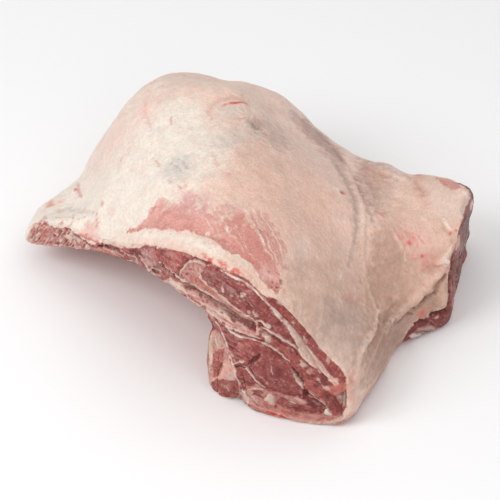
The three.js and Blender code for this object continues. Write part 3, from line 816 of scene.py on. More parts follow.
NECK_OUTLINE = dark_lean_patch(1.5, 457, 181, 463, 185, 468, 189, 471.8, 194.5, 473.8, 201, 474.2, 208.5,
    467.5, 213, 461, 221.5, 458, 234, 454.7, 249, 452.3, 255, 450.4, 264.7, 449.5, 273, 448.3, 277.4, 448,
    291.4, 448.3, 300.5, 446.8, 306.5, 444.4, 308.3, 439.5, 310.5, 435.3, 312.3, 431, 313.2, 429.2, 315.6,
    426.8, 318, 423.8, 319.2, 419.5, 319.5, 415.3, 321.7, 411, 326, 407.4, 331.4, 403.8, 335.6, 399.5, 339.2,
    395.5, 347, 400, 352, 455, 365, 520, 345, 520, 180, 470, 176, 460, 180, ragged=0.9, lean=None)

# Painted shade: the neck cut faces away from the light, so dark lean over all of it and the deep-shade patches
# and lines darken it. Its seams, fat and membrane keep their own colours.
NECK_CUT_SEEN = (
    dark_lean_patch(3, 520, 180, 520, 345, 455, 365, 396, 352, 396, 338, 430, 310, 447, 306, 450, 264, 459,
        222, 467, 211, 474, 203, 455, 178, amount=0.75, ragged=0),
    pink_fat_line(1.4, 463, 226, 461, 240, 458, 252, amount=0.45, lean=0.2, broken=0.2),
    patch(Tint.DEEP_SHADE, 2.5, 470, 212, 474, 224, 470, 262, 464, 290, 458, 286, 459, 262, 461, 236, 464,
        218, amount=0.5, ragged=1.2, lean=1),
    pale_pink_line(1.3, 459, 236, 457.5, 243, 456, 250, ragged=0.6, relief=0.5),
    crease_shade_and_tan_seam_line(0.9, 461, 256, 459.5, 268, 456, 280, amount=0.7, ragged=0.5, relief=0.5, lean=0.1),
    crease_shade_and_tan_seam_line(0.8, 464, 238, 461, 248, 460, 254, amount=0.6, ragged=0.6, relief=0.5, lean=0.1),
    deep_shade_line(1.2, 465, 216, 462, 226, 460, 236),
    fascia_line(0.8, 468, 226, 466, 238, 463, 250, amount=0.5, ragged=0.5, relief=0.4, lean=0.1),
    line(Tint.BRIGHT_LEAN, 1.4, 466, 247, 464.5, 262, 462, 275, amount=0.75, ragged=0.6, relief=0.4),
    brown_grey_line(1, 457, 258, 454.5, 266, 455.5, 275, 458.5, 278, amount=0.8, relief=0.5),
    brown_grey_line(0.9, 460, 258, 457.5, 265, 458, 273, 460, 275, amount=0.7),
    spot(Tint.DEEP_SHADE, 1.2, 456.7, 269.5, 1, 3.2, 5, amount=0.8, ragged=0.4, relief=-0.9),
    brown_grey_line(1.1, 452.5, 262, 451.5, 271, 452.5, 280, 453, 290, ragged=0.5),
    red_fat_line(0.9, 450.5, 281, 451, 290, 450.6, 298, amount=0.6, ragged=0.4, relief=0.4),
    deep_shade_line(1, 449.3, 272, 448.9, 284, 449.3, 296, 448.6, 304, amount=0.8, ragged=0.3, relief=-0.8),
    pink_fat_line(0.8, 455, 284, 454.5, 293, 452.5, 302, 450, 311, ragged=0.6, relief=0.4),
    brown_grey_line(0.9, 457, 290, 455, 299, 452, 308, 449.5, 317, ragged=0.5),
    patch(Tint.DEEP_SHADE, 1.4, 429.5, 315.5, 432, 313.5, 437, 311.5, 445.6, 308.5, 447, 311, 441, 313.5, 434,
        316.5, amount=0.9, ragged=0.4, relief=-1.6, lean=1),
    pink_fat_spot(1, 437, 317.6, 1.8, 1.3, -20, amount=0.85, ragged=0.3, relief=0.6, lean=0),
    pink_fat_spot(0.8, 444.7, 315.8, 0.9, 1.2, 0, ragged=0.3, relief=0.4, lean=0),
    red_fat_line(0.7, 430.5, 319, 433, 322.5, 437, 325.5, amount=0.8, ragged=0.3, relief=0.5, lean=0.2),
    deep_shade_line(1.6, 413, 324, 419, 321, 427, 321.5, 434, 324, relief=-0.8),
    brown_grey_line(0.9, 440, 322, 444, 318, 448, 311, amount=0.55, ragged=0.5, relief=0.3),
    patch(Tint.GREY, 1.4, 417.5, 328, 422, 325.5, 428, 324.5, 436.5, 327, 442, 329.5, 440, 333, 424, 333,
        421.5, 337, 410.5, 339, 407.4, 334.6, 414, 332.6, amount=0.9, relief=0.7, lean=0.1, dome=2),
    pink_fat_line(1, 418, 328.5, 424, 327.5, 430, 327.5, 436, 329.5, amount=0.7, ragged=0.6, lean=0),
    patch(Tint.WHITE_FASCIA, 1.2, 408.5, 334.5, 413, 333.6, 418, 333.2, 422.5, 333.2, 420, 336.4, 412, 338.2,
        amount=0.75, relief=0.4, lean=0),
    dark_lean_line(0.9, 413, 332.6, 420, 331, 427, 330.6, 434, 330.4, ragged=0.4),
)

# ---- what shows on the rib-end cut, in the photo's pixels ------------------------------------------

CUT_OUTLINE = lean_patch(1.4, 25, 246, 27, 237, 33, 224.6, 38, 221.5, 45, 218.3, 47.4, 224.6, 55, 227.8, 61,
    227.5, 70, 227.4, 71.5, 230.5, 75, 234.2, 80.6, 236.8, 87.6, 241.9, 93.3, 243.8, 103, 243.3, 112, 245,
    120, 247, 133, 249, 144, 246.5, 158, 248.2, 171, 250.2, 184, 253.3, 193, 256.5, 207, 261.6, 222, 266.7,
    237, 274.4, 249, 281, 259, 291, 266.7, 297.3, 277, 296.8, 284.5, 302.4, 292, 311.4, 300, 321.6, 307.5,
    330.5, 313, 336.5, 320.3, 347.6, 332, 359.1, 342, 369.3, 346, 378, 346, 390, 347, 405, 343, 414, 347,
    424, 318, 432, 280, 424, 240, 405, 222, 402, 204, 388, 202, 350, 206, 330, 198, 318, 120, 275, 60, 255,
    amount=1, ragged=0.7)

BREAST_END = (
    patch(Tint.DEEP_PINK, 3, 25, 246, 30, 226, 45, 219, 70, 228, 95, 244, 122, 248, 128, 268, 100, 262, 60,
        252, amount=0.85, ragged=1, lean=0.5),
    pink_fat_line(1.6, 27, 243, 40, 244, 58, 247, 74, 250, amount=0.7, lean=0.2),
    red_fat_line(1.8, 66, 249, 80, 252, 95, 255, 112, 260, ragged=1, lean=0.4),
    fascia_line(1.2, 54, 245, 66, 247, 76, 249, amount=0.8, ragged=0.8),
    fascia_line(2.4, 24, 240, 27, 235, 30, 231, amount=0.8),
    spot(Tint.BLOOD, 0.8, 30, 244, 0.9, 0.9, 0, amount=0.7, ragged=0.3),
    # Painted shade: the deep-shade lines below darken crevices between muscles.
    deep_shade_line(1.3, 67, 229, 71, 231, 76, 236, 82, 240, amount=0.8, ragged=0.5, relief=-1.2),
    spot(Tint.BLOOD, 1.2, 68, 229, 2.6, 1.2, 20, amount=0.8),
    dark_lean_line(1.3, 82, 240, 89, 245, 96, 248, ragged=0.8, relief=-0.8),
    deep_shade_line(2.2, 97, 246, 106, 246.5, 114, 249.5, 122, 254, amount=0.85, ragged=0.7, relief=-2,
        lean=1),
    fascia_line(0.9, 106, 250, 114, 252, 124, 257, lean=None),
    soft_blood_line(1.4, 83, 237, 92, 243, 104, 242.5, amount=0.6, ragged=0.6),
)

SHOULDER_END = (
    patch(Tint.MAUVE, 3, 140, 250, 152, 249, 158, 256, 160, 266, 152, 268, 142, 261, amount=0.65, ragged=1.5,
        lean=0.8),
    dark_lean_patch(2, 130, 249, 141, 249, 143, 257, 136, 260, 130, 256, amount=0.8, ragged=1.2, relief=-0.6),
    patch(Tint.BRICK, 1.4, 151, 252, 157, 250.5, 173, 252.5, 189, 255.5, 187, 263, 181, 268, 174, 274, 162,
        265, 152, 259, amount=0.97, ragged=0.6, relief=1.2, lean=1, dome=5),
    patch(Tint.DEEP_PINK, 3, 125, 258, 140, 263, 165, 276, 178, 287, 172, 296, 150, 281, 128, 270,
        amount=0.45, ragged=2, lean=0.7),
    dark_lean_spot(1.2, 132, 263.5, 4.5, 1.8, 22),
    dark_lean_spot(1.4, 155.5, 271.5, 4.5, 2.2, 18, relief=-0.9),
    dark_lean_spot(1.4, 170.5, 285.5, 7, 3, 28, relief=-1),
    spot(Tint.LEAN, 1.4, 146, 266.5, 4, 2, 30, relief=-0.4, lean=1),
    # Painted shade: the deep-shade line below darkens the crevice between two muscles.
    deep_shade_line(2.2, 162.5, 263, 168, 269, 175, 276.5, amount=0.85, relief=-1.6, lean=1),
    fascia_line(0.9, 126, 262, 132, 261, 138, 264.5, amount=0.8, ragged=0.4, relief=0.4),
    fascia_line(0.9, 127, 266, 133, 266.5, 139, 268, amount=0.7, ragged=0.4, relief=0.4),
    fascia_line(1, 149, 270, 154, 268.5, 161, 272, amount=0.85, ragged=0.4, relief=0.5),
    fascia_line(1, 149, 273, 156, 275, 162, 276, amount=0.75, ragged=0.4, relief=0.4),
    fascia_line(1.1, 162, 281, 171, 281.5, 179, 288, amount=0.85, ragged=0.4, relief=0.5),
    fascia_line(1.1, 162, 285, 170, 290.5, 178, 292, amount=0.7, ragged=0.4, relief=0.4),
    fascia_line(0.8, 124, 253, 134, 258, 146, 266, 154, 274, amount=0.55, ragged=1, relief=0.3),
    fascia_line(0.8, 138, 255, 144, 262, 149, 271, amount=0.55, ragged=0.8, relief=0.3),
    red_fat_line(1.2, 122, 266, 136, 274, 152, 283, 168, 292, lean=0.4),
    pink_fat_line(1, 126, 270, 142, 278, 158, 287, amount=0.6, lean=0.2, broken=0.3),
    white_fascia_line(1.1, 160.5, 261, 168, 267, 176, 274.5, 183, 279, amount=0.9, ragged=0.3, relief=0.7,
        lean=0),
    dark_lean_line(1.5, 194, 257.5, 201, 260.5, 209, 264, amount=0.9, ragged=0.4, relief=-0.8, lean=1),
    line(Tint.BLOOD, 1.8, 207, 260.5, 214, 263.5, 222, 268, amount=0.8, ragged=0.7, relief=-0.3, lean=0.9),
    soft_blood_line(1.5, 220, 267, 227, 270, 233, 273.5, amount=0.7, ragged=0.7, lean=0.3),
    spot(Tint.BLOOD, 1.2, 222, 265, 2, 1.2, 10, amount=0.6, ragged=0.8),
    lean_patch(1.2, 207.5, 267.5, 219.5, 269, 230.5, 278, 223, 281.5, 217, 283.5, 209, 281.5, 201.5, 274.5,
        amount=0.98, ragged=0.4, relief=1, dome=4),
    dark_lean_patch(3, 204, 272, 214, 279, 222, 281, 216, 283, 208, 281, amount=0.8, ragged=0.6),
    lean_patch(2, 217, 284, 232, 279, 243, 284, 257, 297, 270, 311, 285, 329, 298, 348, 291, 345, 270, 331,
        250, 317, 235, 305, 222, 294, relief=0.8, dome=5),
    patch(Tint.BROWN_GREY, 3, 219, 286, 232, 286, 240, 294, 236, 300, 226, 294, amount=0.35, ragged=1.5,
        lean=0.8),
    dark_lean_line(1.1, 228, 282, 238, 291, 250, 304, amount=0.6, ragged=0.6, lean=1),
    dark_lean_line(1.2, 240, 297, 250, 303, 258, 312, ragged=0.6, relief=-0.6, lean=1),
    fascia_line(0.7, 238, 296, 248, 301, 256, 309, relief=0.3, lean=0.2),
    fascia_spot(1, 223, 288.5, 2, 1.5, 70, amount=0.85, ragged=1.7, relief=0.5),
    fascia_spot(1, 244, 293.5, 2.2, 1.8, 60, amount=0.85, ragged=1.7, relief=0.5),
    fascia_spot(1, 232, 295.5, 2, 1.2, 0, ragged=1.7, relief=0.4),
    fascia_spot(1.2, 256.5, 314, 3, 2, 20, amount=0.85, relief=0.5),
    fascia_spot(0.8, 240, 303, 2, 0.9, 30, amount=0.6),
    fascia_spot(0.8, 249, 312, 1.6, 1, 40, amount=0.6),
    white_fascia_line(1, 207, 266, 214.5, 267, 223, 271, 232, 277, 242.5, 281, 249, 285.5, 255.5, 291.5, 263,
        300.5, 273, 310.5, 282, 321, amount=0.95, ragged=0.25, relief=0.9, lean=0),
    fascia_line(1.6, 246, 284, 258, 294, 268, 305.5, 280, 319, 290, 330, ragged=0.5),
)

BLADE_MARKS = (
    patch(Tint.LINING, 1.5, 179, 276, 181, 270, 185, 266, 188, 261, 196, 262, 206, 266.5, 201, 274, 204, 283,
        214, 291, 226, 300, 240, 309, 253, 318, 255, 321, 246, 319, 230, 309, 214, 300, 202, 291, 190, 283,
        amount=0.9, relief=0.3, lean=0.1, spongy=0.6),
    fascia_line(1.3, 180, 276, 181.5, 270.5, 186, 265.5, 189, 261.5, 197, 261.5, 205, 265.5, amount=0.9,
        ragged=0.4, relief=0.5, spongy=0),
    fascia_line(1, 201, 266, 200, 272, 201, 279, amount=0.7),
    spot(Tint.PALE_PINK, 4, 193, 272, 8, 7, 0, amount=0.35, ragged=1.5, spongy=1),
    dark_lean_spot(1, 191, 269, 1, 0.8, 0, amount=0.6, relief=-0.4, lean=None),
    spot(Tint.BRICK, 1.6, 192, 277, 3.4, 1.4, 40, amount=0.6, ragged=1, relief=-0.3),
    spot(Tint.BRICK, 1.6, 198, 270, 2.4, 1.6, 70, amount=0.5, ragged=1, relief=-0.2),
    dark_lean_spot(1.2, 187.5, 273.5, 1.8, 1.5, 0, amount=0.8, ragged=0.6, lean=None),
    spot(Tint.RED_FAT, 2, 195, 278, 5, 3, 20, amount=0.5, ragged=1.5, spongy=1),
    red_fat_line(2.6, 195, 279, 203, 284, 210, 290, 217, 295, broken=0.25, spongy=1),
    fascia_line(1.1, 199, 276, 205, 283, 215, 291, 226, 300, 240, 310, 254, 320, amount=0.85, ragged=0.5,
        relief=0.4, spongy=0),
    white_fascia_line(1.3, 176, 274.5, 184, 280.5, 193, 285.5, 203, 291, 213, 296.5, amount=0.92,
        ragged=0.35, relief=0.7, lean=0),
    fascia_line(1.2, 213, 296.5, 221, 302, 231, 309, amount=0.7, ragged=0.5, relief=0.4),
)

RIB_SIDE = (
    patch(Tint.BROWN_GREY, 2, 184, 282.5, 190, 283, 203, 291.5, 218, 301, 236, 313, 254, 323, 258, 330, 243,
        326, 226, 317, 210, 307, 196, 297, 187, 289, amount=0.85, ragged=0.8, relief=-0.7, lean=0.85),
    dark_lean_spot(1.4, 197, 291, 5, 2.4, 30, amount=0.95, ragged=0.4),
    # Painted shade: the deep-shade line below darkens a crevice.
    deep_shade_line(1.2, 187, 284, 193, 290, 199, 296),
    dark_lean_patch(3, 222, 309, 234, 314, 250, 323, 258, 331, 246, 328, 230, 319, amount=0.6, relief=0.4),
    pale_pink_line(5, 168, 281, 178, 287, 191, 296, 207, 307, 221, 318, 240, 327, 256, 335, amount=0.95,
        relief=0.7),
    fascia_line(2, 170, 279, 177, 284, 187, 292, 198, 300, amount=0.85, relief=0.6),
    fascia_line(1.4, 181, 294, 193, 300, 206, 309, 216, 318, amount=0.8, relief=0.5),
    line(Tint.BRIGHT_LEAN, 1.3, 180, 289, 192, 297, 206, 307, 222, 318, 236, 325, amount=0.8, ragged=0.7,
        relief=-0.3, lean=0.8),
    red_fat_line(1.2, 186, 300, 200, 307, 213, 317, ragged=0.6, lean=0.4),
    red_fat_line(1.6, 214, 313, 228, 322, 242, 329, 256, 337, amount=0.75, lean=0.4),
    fascia_line(1.3, 218, 312, 231, 321, 244, 327, ragged=0.8, broken=0.3),
    fascia_line(1.8, 226, 326, 236, 329.5, 248, 333, 262, 339, amount=0.85, relief=0.5),
    brown_grey_line(1.2, 209, 314, 214, 321, 219, 327, ragged=0.6, relief=-0.3),
    fascia_line(1.3, 204, 311, 212, 318, 218, 325, ragged=0.8),
)

LOIN_END = (
    line(Tint.BRIGHT_LEAN, 4, 250, 331, 266, 337, 280, 346, 292, 357, 304, 369, 316, 382, 326, 392,
        amount=0.6, ragged=1, relief=0.4, lean=1),
    dark_lean_line(1, 268, 334, 282, 343, 292, 353, ragged=0.6, relief=-0.6),
    lean_patch(2, 258, 306, 270, 311, 285, 329, 298.5, 348, 291, 345, 276, 334, 262, 322, amount=0.85,
        ragged=0.6, relief=0.4, dome=4),
    fascia_line(2.4, 262, 327, 276, 334, 291, 343, 306, 356, 323, 371, 334, 382, amount=0.92, relief=0.6),
    fascia_spot(2, 267, 337, 6, 3, 40, amount=0.85, ragged=1.2, relief=0.5),
    spot(Tint.BROWN_GREY, 1.5, 264, 333, 4, 1.2, 40, amount=0.5, ragged=0.6),
    patch(Tint.BEIGE, 1.4, 282, 320, 288, 326, 296, 333, 304, 343, 314, 355, 324, 366, 340, 384, 338, 388,
        326, 378, 312, 365, 303, 357, 298, 346, 290, 332, amount=0.95, relief=0.4, lean=0),
    white_fascia_line(0.7, 284, 322, 291, 331, 298, 343, 303, 355, amount=0.8, relief=0.4, lean=0),
    white_fascia_line(0.6, 290, 328, 300, 340, 310, 352, 320, 364, lean=0),
    line(Tint.GREY_TAN, 1.6, 286, 325, 294, 334, 300, 344, 308, 355, amount=0.6, ragged=0.8, lean=0),
    line(Tint.TAN, 1.2, 292, 334, 299, 346, 309, 358, 322, 370, amount=0.5, ragged=0.6, lean=0),
    pink_fat_line(1.6, 306, 352, 318, 365, 330, 377, 340, 387, lean=0),
    white_fascia_line(0.6, 310, 358, 320, 368, 331, 379, lean=0),
    red_fat_line(0.8, 313, 357, 322, 366, 330, 374, 339, 384, amount=0.6, ragged=0.7, lean=0.3),
    red_fat_line(1, 322, 372, 332, 380, 341, 389, amount=0.6, ragged=0.6),
    lean_patch(1.4, 269, 298, 277, 297.5, 285, 303.5, 292.5, 312.5, 300, 322.5, 308, 331.5, 316, 342, 324,
        352, 334, 362, 343, 371, 345, 380, 338, 379, 327, 367, 314, 352, 304, 341, 295, 330, 284, 316, 274,
        305, ragged=0.5, relief=0.5, dome=3),
    line(Tint.BRIGHT_LEAN, 2.2, 318, 346, 328, 357, 338, 368, 343, 377, amount=0.7, ragged=0.8, lean=1),
    fascia_spot(1.2, 279, 303, 2.6, 1.6, 50),
    fascia_spot(0.9, 293, 322, 1.6, 1, 50),
    fascia_spot(0.9, 304, 338, 2.4, 1, 50, amount=0.6),
    fascia_spot(0.9, 313, 345, 2, 1, 60, amount=0.6),
    fascia_spot(0.9, 328, 360, 1.4, 1, 60),
    dark_lean_line(1.1, 286, 340, 292, 347, 297, 355, amount=0.8, ragged=0.4, relief=-0.9),
    fascia_spot(1.6, 303, 364, 4, 2.2, 45, amount=0.8, relief=0.5),
    pink_fat_spot(1.6, 311, 372, 4, 2.5, 45, amount=0.7, ragged=1.8, relief=0.4, lean=0),
    fascia_line(1, 318, 379, 322, 385, 327, 390, ragged=0.8),
    lean_patch(2, 227, 332, 236, 331, 246, 336, 240, 342, 232, 343, amount=0.8, relief=0.3),
    patch(Tint.BRICK, 2, 236, 345, 243, 341, 252, 340.5, 262, 344, 268, 349, 262, 355, 254, 360, 246, 362.5,
        239, 358, amount=0.9, ragged=0.8, relief=1, lean=1, dome=5),
    lean_patch(2, 262, 345, 277, 353, 288.5, 362, 295, 372, 302.5, 382, 303.5, 390, 295, 393.5, 279.5, 392,
        267, 387, 257, 381, 249, 370, 252, 362, ragged=0.6, relief=1.6, dome=8),
    dark_lean_patch(6, 268, 364, 284, 366, 295, 380, 290, 388, 272, 382, amount=0.45),
    # Painted shadow: the wide deep-shade line below is the shadow along the edge of the lean block above it.
    # The deep-shade lines and patch further down paint shade in cracks and pits.
    deep_shade_line(2.6, 248, 364, 254, 360, 261, 354, amount=0.65, ragged=0.8, relief=-1.4),
    deep_shade_line(1, 235, 366, 241, 367, 247, 367, amount=0.85, ragged=0.3, relief=-1.2),
    fascia_line(1.7, 234, 363.5, 239, 361.5, 244, 361.5, amount=0.85, relief=0.9),
    white_fascia_line(0.9, 245, 366, 248, 370, 252, 375.5, 259, 382.5, 265, 387, amount=0.85, relief=0.6,
        lean=0),
    deep_shade_line(0.9, 247, 366, 252, 372, 258, 379, amount=0.7, ragged=0.3, relief=-0.9),
    fascia_line(0.6, 260, 373.5, 264, 376.5, 269, 383, amount=0.55, relief=0.3),
    white_fascia_line(1, 228, 329.5, 241, 336, 254, 339.5, 266, 343.5, 279, 352, 290, 361.5, amount=0.9,
        relief=0.6, lean=0),
    brown_grey_line(1.2, 256, 340, 263, 341, 268, 344, relief=-0.4),
    fascia_line(0.7, 272, 361, 273, 368, 274, 373, ragged=0.4, relief=0.3),
    deep_shade_line(1.5, 292, 367.5, 296, 373, 300, 378, 304, 383, amount=0.9, ragged=0.3, relief=-2),
    fascia_line(1.3, 294.5, 373.5, 298, 379, 301.5, 384, 304, 390, amount=0.9, ragged=0.3, relief=0.8),
    patch(Tint.BRICK, 2, 303, 369, 309, 375, 317, 385, 326, 397, 322, 402, 312, 394, 305, 388, amount=0.85,
        ragged=0.6, relief=0.6, lean=1, dome=3),
    dark_lean_patch(2, 300.5, 390, 304, 388.5, 310, 392.5, 318, 398, 325, 404, 328, 410, 322, 412.5, 312,
        409.5, 304, 402.5, 301, 397, amount=0.9, ragged=0.8, relief=-1.2, dome=3),
    patch(Tint.DEEP_SHADE, 1.5, 301, 392, 303, 389, 307, 390.5, 309, 394, 305, 396.5, 301.5, 395.5,
        amount=0.75, ragged=0.6, relief=-1.4, lean=1),
    spot(Tint.BROWN_GREY, 1.4, 310, 400, 3, 1.6, 40, amount=0.6, ragged=0.8, relief=0.5),
    spot(Tint.GREY, 1, 313, 402, 1.8, 1, 30, amount=0.6, ragged=0.6, relief=0.3),
    spot(Tint.GREY, 1, 317, 405, 2.2, 1, 30, amount=0.55, ragged=0.6, relief=0.3),
    pink_fat_spot(1, 311, 397.5, 1.6, 0.9, 30, relief=0.3),
    pink_fat_spot(1, 306, 402.5, 2.2, 1.2, 60, ragged=0.6, relief=0.3),
    spot(Tint.BROWN_GREY, 1, 321, 407, 3, 1.4, 40, amount=0.6, ragged=0.6),
    fascia_line(0.8, 305, 390, 311, 393, 317.6, 398, 325, 404, 330, 411, 332, 415, amount=0.85, ragged=0.3,
        relief=0.7),
    pink_fat_line(0.7, 304, 388, 312, 391.5, 319, 396.5, 325, 402, amount=0.6, ragged=0.3, relief=0.3,
        lean=0),
    patch(Tint.WHITE_FASCIA, 1, 323, 413.5, 324.5, 409.5, 327, 409, 330.5, 413, 331.5, 415, 326, 415.5,
        amount=0.9, ragged=0.4, relief=0.5, lean=0),
    lean_patch(1.6, 324, 396, 331, 394.5, 336, 397, 341, 404, 342.5, 410, 337, 413, 332, 412, 327, 404,
        amount=0.85, ragged=0.6, relief=-0.8, dome=2),
    dark_lean_patch(1.6, 331, 396.5, 335, 397.5, 340, 405, 341.5, 411, 336, 412.5, 333, 404, amount=0.7,
        ragged=0.8, relief=-0.4),
    patch(Tint.GREY_TAN, 1.2, 335.5, 397, 340, 393.5, 345.4, 390.5, 345.4, 406, 341.5, 407, 338, 401.5,
        amount=0.9, relief=-1, lean=0),
    brown_grey_line(0.8, 345.6, 390, 345.8, 398, 344.6, 408, amount=0.8, ragged=0.3, relief=-0.8),
    patch(Tint.RED_FAT, 2.5, 330, 385, 338, 384, 345, 381, 346, 388, 338, 396, 331, 394, 326, 389,
        amount=0.85, ragged=1.2, relief=0.6, lean=0.4),
    soft_blood_spot(1.5, 339, 386, 3, 2, 40, ragged=1),
    fascia_spot(1.4, 328, 388, 2.5, 1.4, 20, ragged=0.8, relief=0),
)

BACK_STRIP = (
    patch(Tint.LINING, 2.5, 246, 386, 262, 388, 275, 392, 289, 395, 301, 401, 308, 409, 320, 414, 337, 415.5,
        350, 412, 350, 425, 318, 430, 280, 422, 246, 407, 243, 396, amount=0.9, ragged=0.8, lean=0.45),
    lean_patch(1.6, 276, 399, 284, 398, 292, 401, 299, 404.5, 305, 405.5, 314, 409.5, 325, 412.5, 321, 414.5,
        308, 414, 296, 411.5, 285, 408, 276, 404.5, ragged=0.7, relief=-0.5, dome=3),
    dark_lean_line(1.4, 284, 405.5, 296, 409, 308, 411.5, 321, 413, ragged=0.6, lean=1),
    line(Tint.BRIGHT_LEAN, 2, 262, 397, 272, 401, 282, 402, amount=0.6, ragged=1, lean=1),
    patch(Tint.FASCIA, 1.4, 266.5, 397, 268.5, 392.8, 272.5, 393.5, 274.8, 398, 274.6, 405.5, 271, 404.5,
        267, 401.5, 264, 399.5, amount=0.9, ragged=0.7, relief=0.8, lean=0, dome=2),
    patch(Tint.PINK_FAT, 1.4, 250, 384, 256, 382.8, 262, 386, 266, 390, 262, 391.5, 254, 389.5, amount=0.75,
        ragged=1, relief=0.5, lean=0),
    fascia_line(0.9, 248.5, 389.5, 254, 388.5, 261, 389, 266, 391, amount=0.75, ragged=0.5, relief=0.5),
    line(Tint.GREY, 1, 250, 386.5, 256, 385.5, 262, 388, amount=0.5, ragged=0.8),
    # Painted shade: the deep-shade line and dot below darken a crevice and a pit.
    deep_shade_line(1.1, 254, 395, 259, 396.5, 263.5, 398.5, amount=0.7, ragged=0.4, relief=-0.9),
    spot(Tint.DEEP_SHADE, 0.9, 275.2, 406, 1.4, 1, 0, amount=0.7, ragged=0.4, relief=-0.6),
    dark_lean_spot(1.2, 259.5, 393, 5, 1.6, 12, amount=0.7, ragged=0.8, relief=-0.3),
    white_fascia_line(1, 244.5, 391, 247, 397, 249.6, 403, amount=0.9, ragged=0.3, relief=0.6, lean=0),
    fascia_line(0.9, 252, 397, 255, 399.5, 258.5, 402.8, amount=0.75, ragged=0.4, relief=0.4),
    fascia_line(1, 288, 401.8, 292, 402.6, 296.5, 404.8, amount=0.85, ragged=0.4, relief=0.5),
    pale_pink_line(1.4, 285, 396, 293, 397, 300, 400, 306, 403, relief=0.4, lean=0.2),
    dark_lean_line(1, 276, 394, 284, 399, 291, 404, amount=0.6, lean=1),
    dark_lean_line(1.6, 270, 388, 280, 392, 290, 395, 300, 397, amount=0.5, ragged=0.8, relief=-0.5, lean=1),
    pink_fat_line(2, 250, 403, 262, 408.5, 276, 413.5, 290, 418, 304, 421.5, 320, 422, 336, 420.5, 345, 416,
        amount=0.75, ragged=1, relief=0.6, lean=0.1),
    line(Tint.BRICK, 2.2, 264, 404, 276, 408, 288, 412.5, 298, 415, amount=0.85, ragged=0.8, lean=0.8),
    fascia_line(2.2, 300, 422.5, 312, 424, 326, 423, 338, 420, 346, 415, amount=0.75, ragged=0.8, relief=0.4),
    line(Tint.BRIGHT_LEAN, 0.9, 286, 408, 292, 411, 297, 413.5, amount=0.6, lean=0.8),
    red_fat_line(1, 318, 416, 323, 417.5, 324.5, 421, 322, 424, amount=0.8, ragged=0.4, relief=-0.3),
    soft_blood_line(1.3, 250, 403.5, 262, 409.5, 274, 413.5, 286, 418, 298, 422.5, amount=0.9, ragged=0.7,
        lean=0.5),
    line(Tint.BLOOD, 1, 258, 407.5, 270, 412, 284, 417, 298, 422.5, amount=0.8, ragged=1.2, broken=0.15),
    spot(Tint.CREAM, 1.4, 349, 379, 2.5, 4.5, 20, amount=0.9, relief=0.9, lean=0),
)

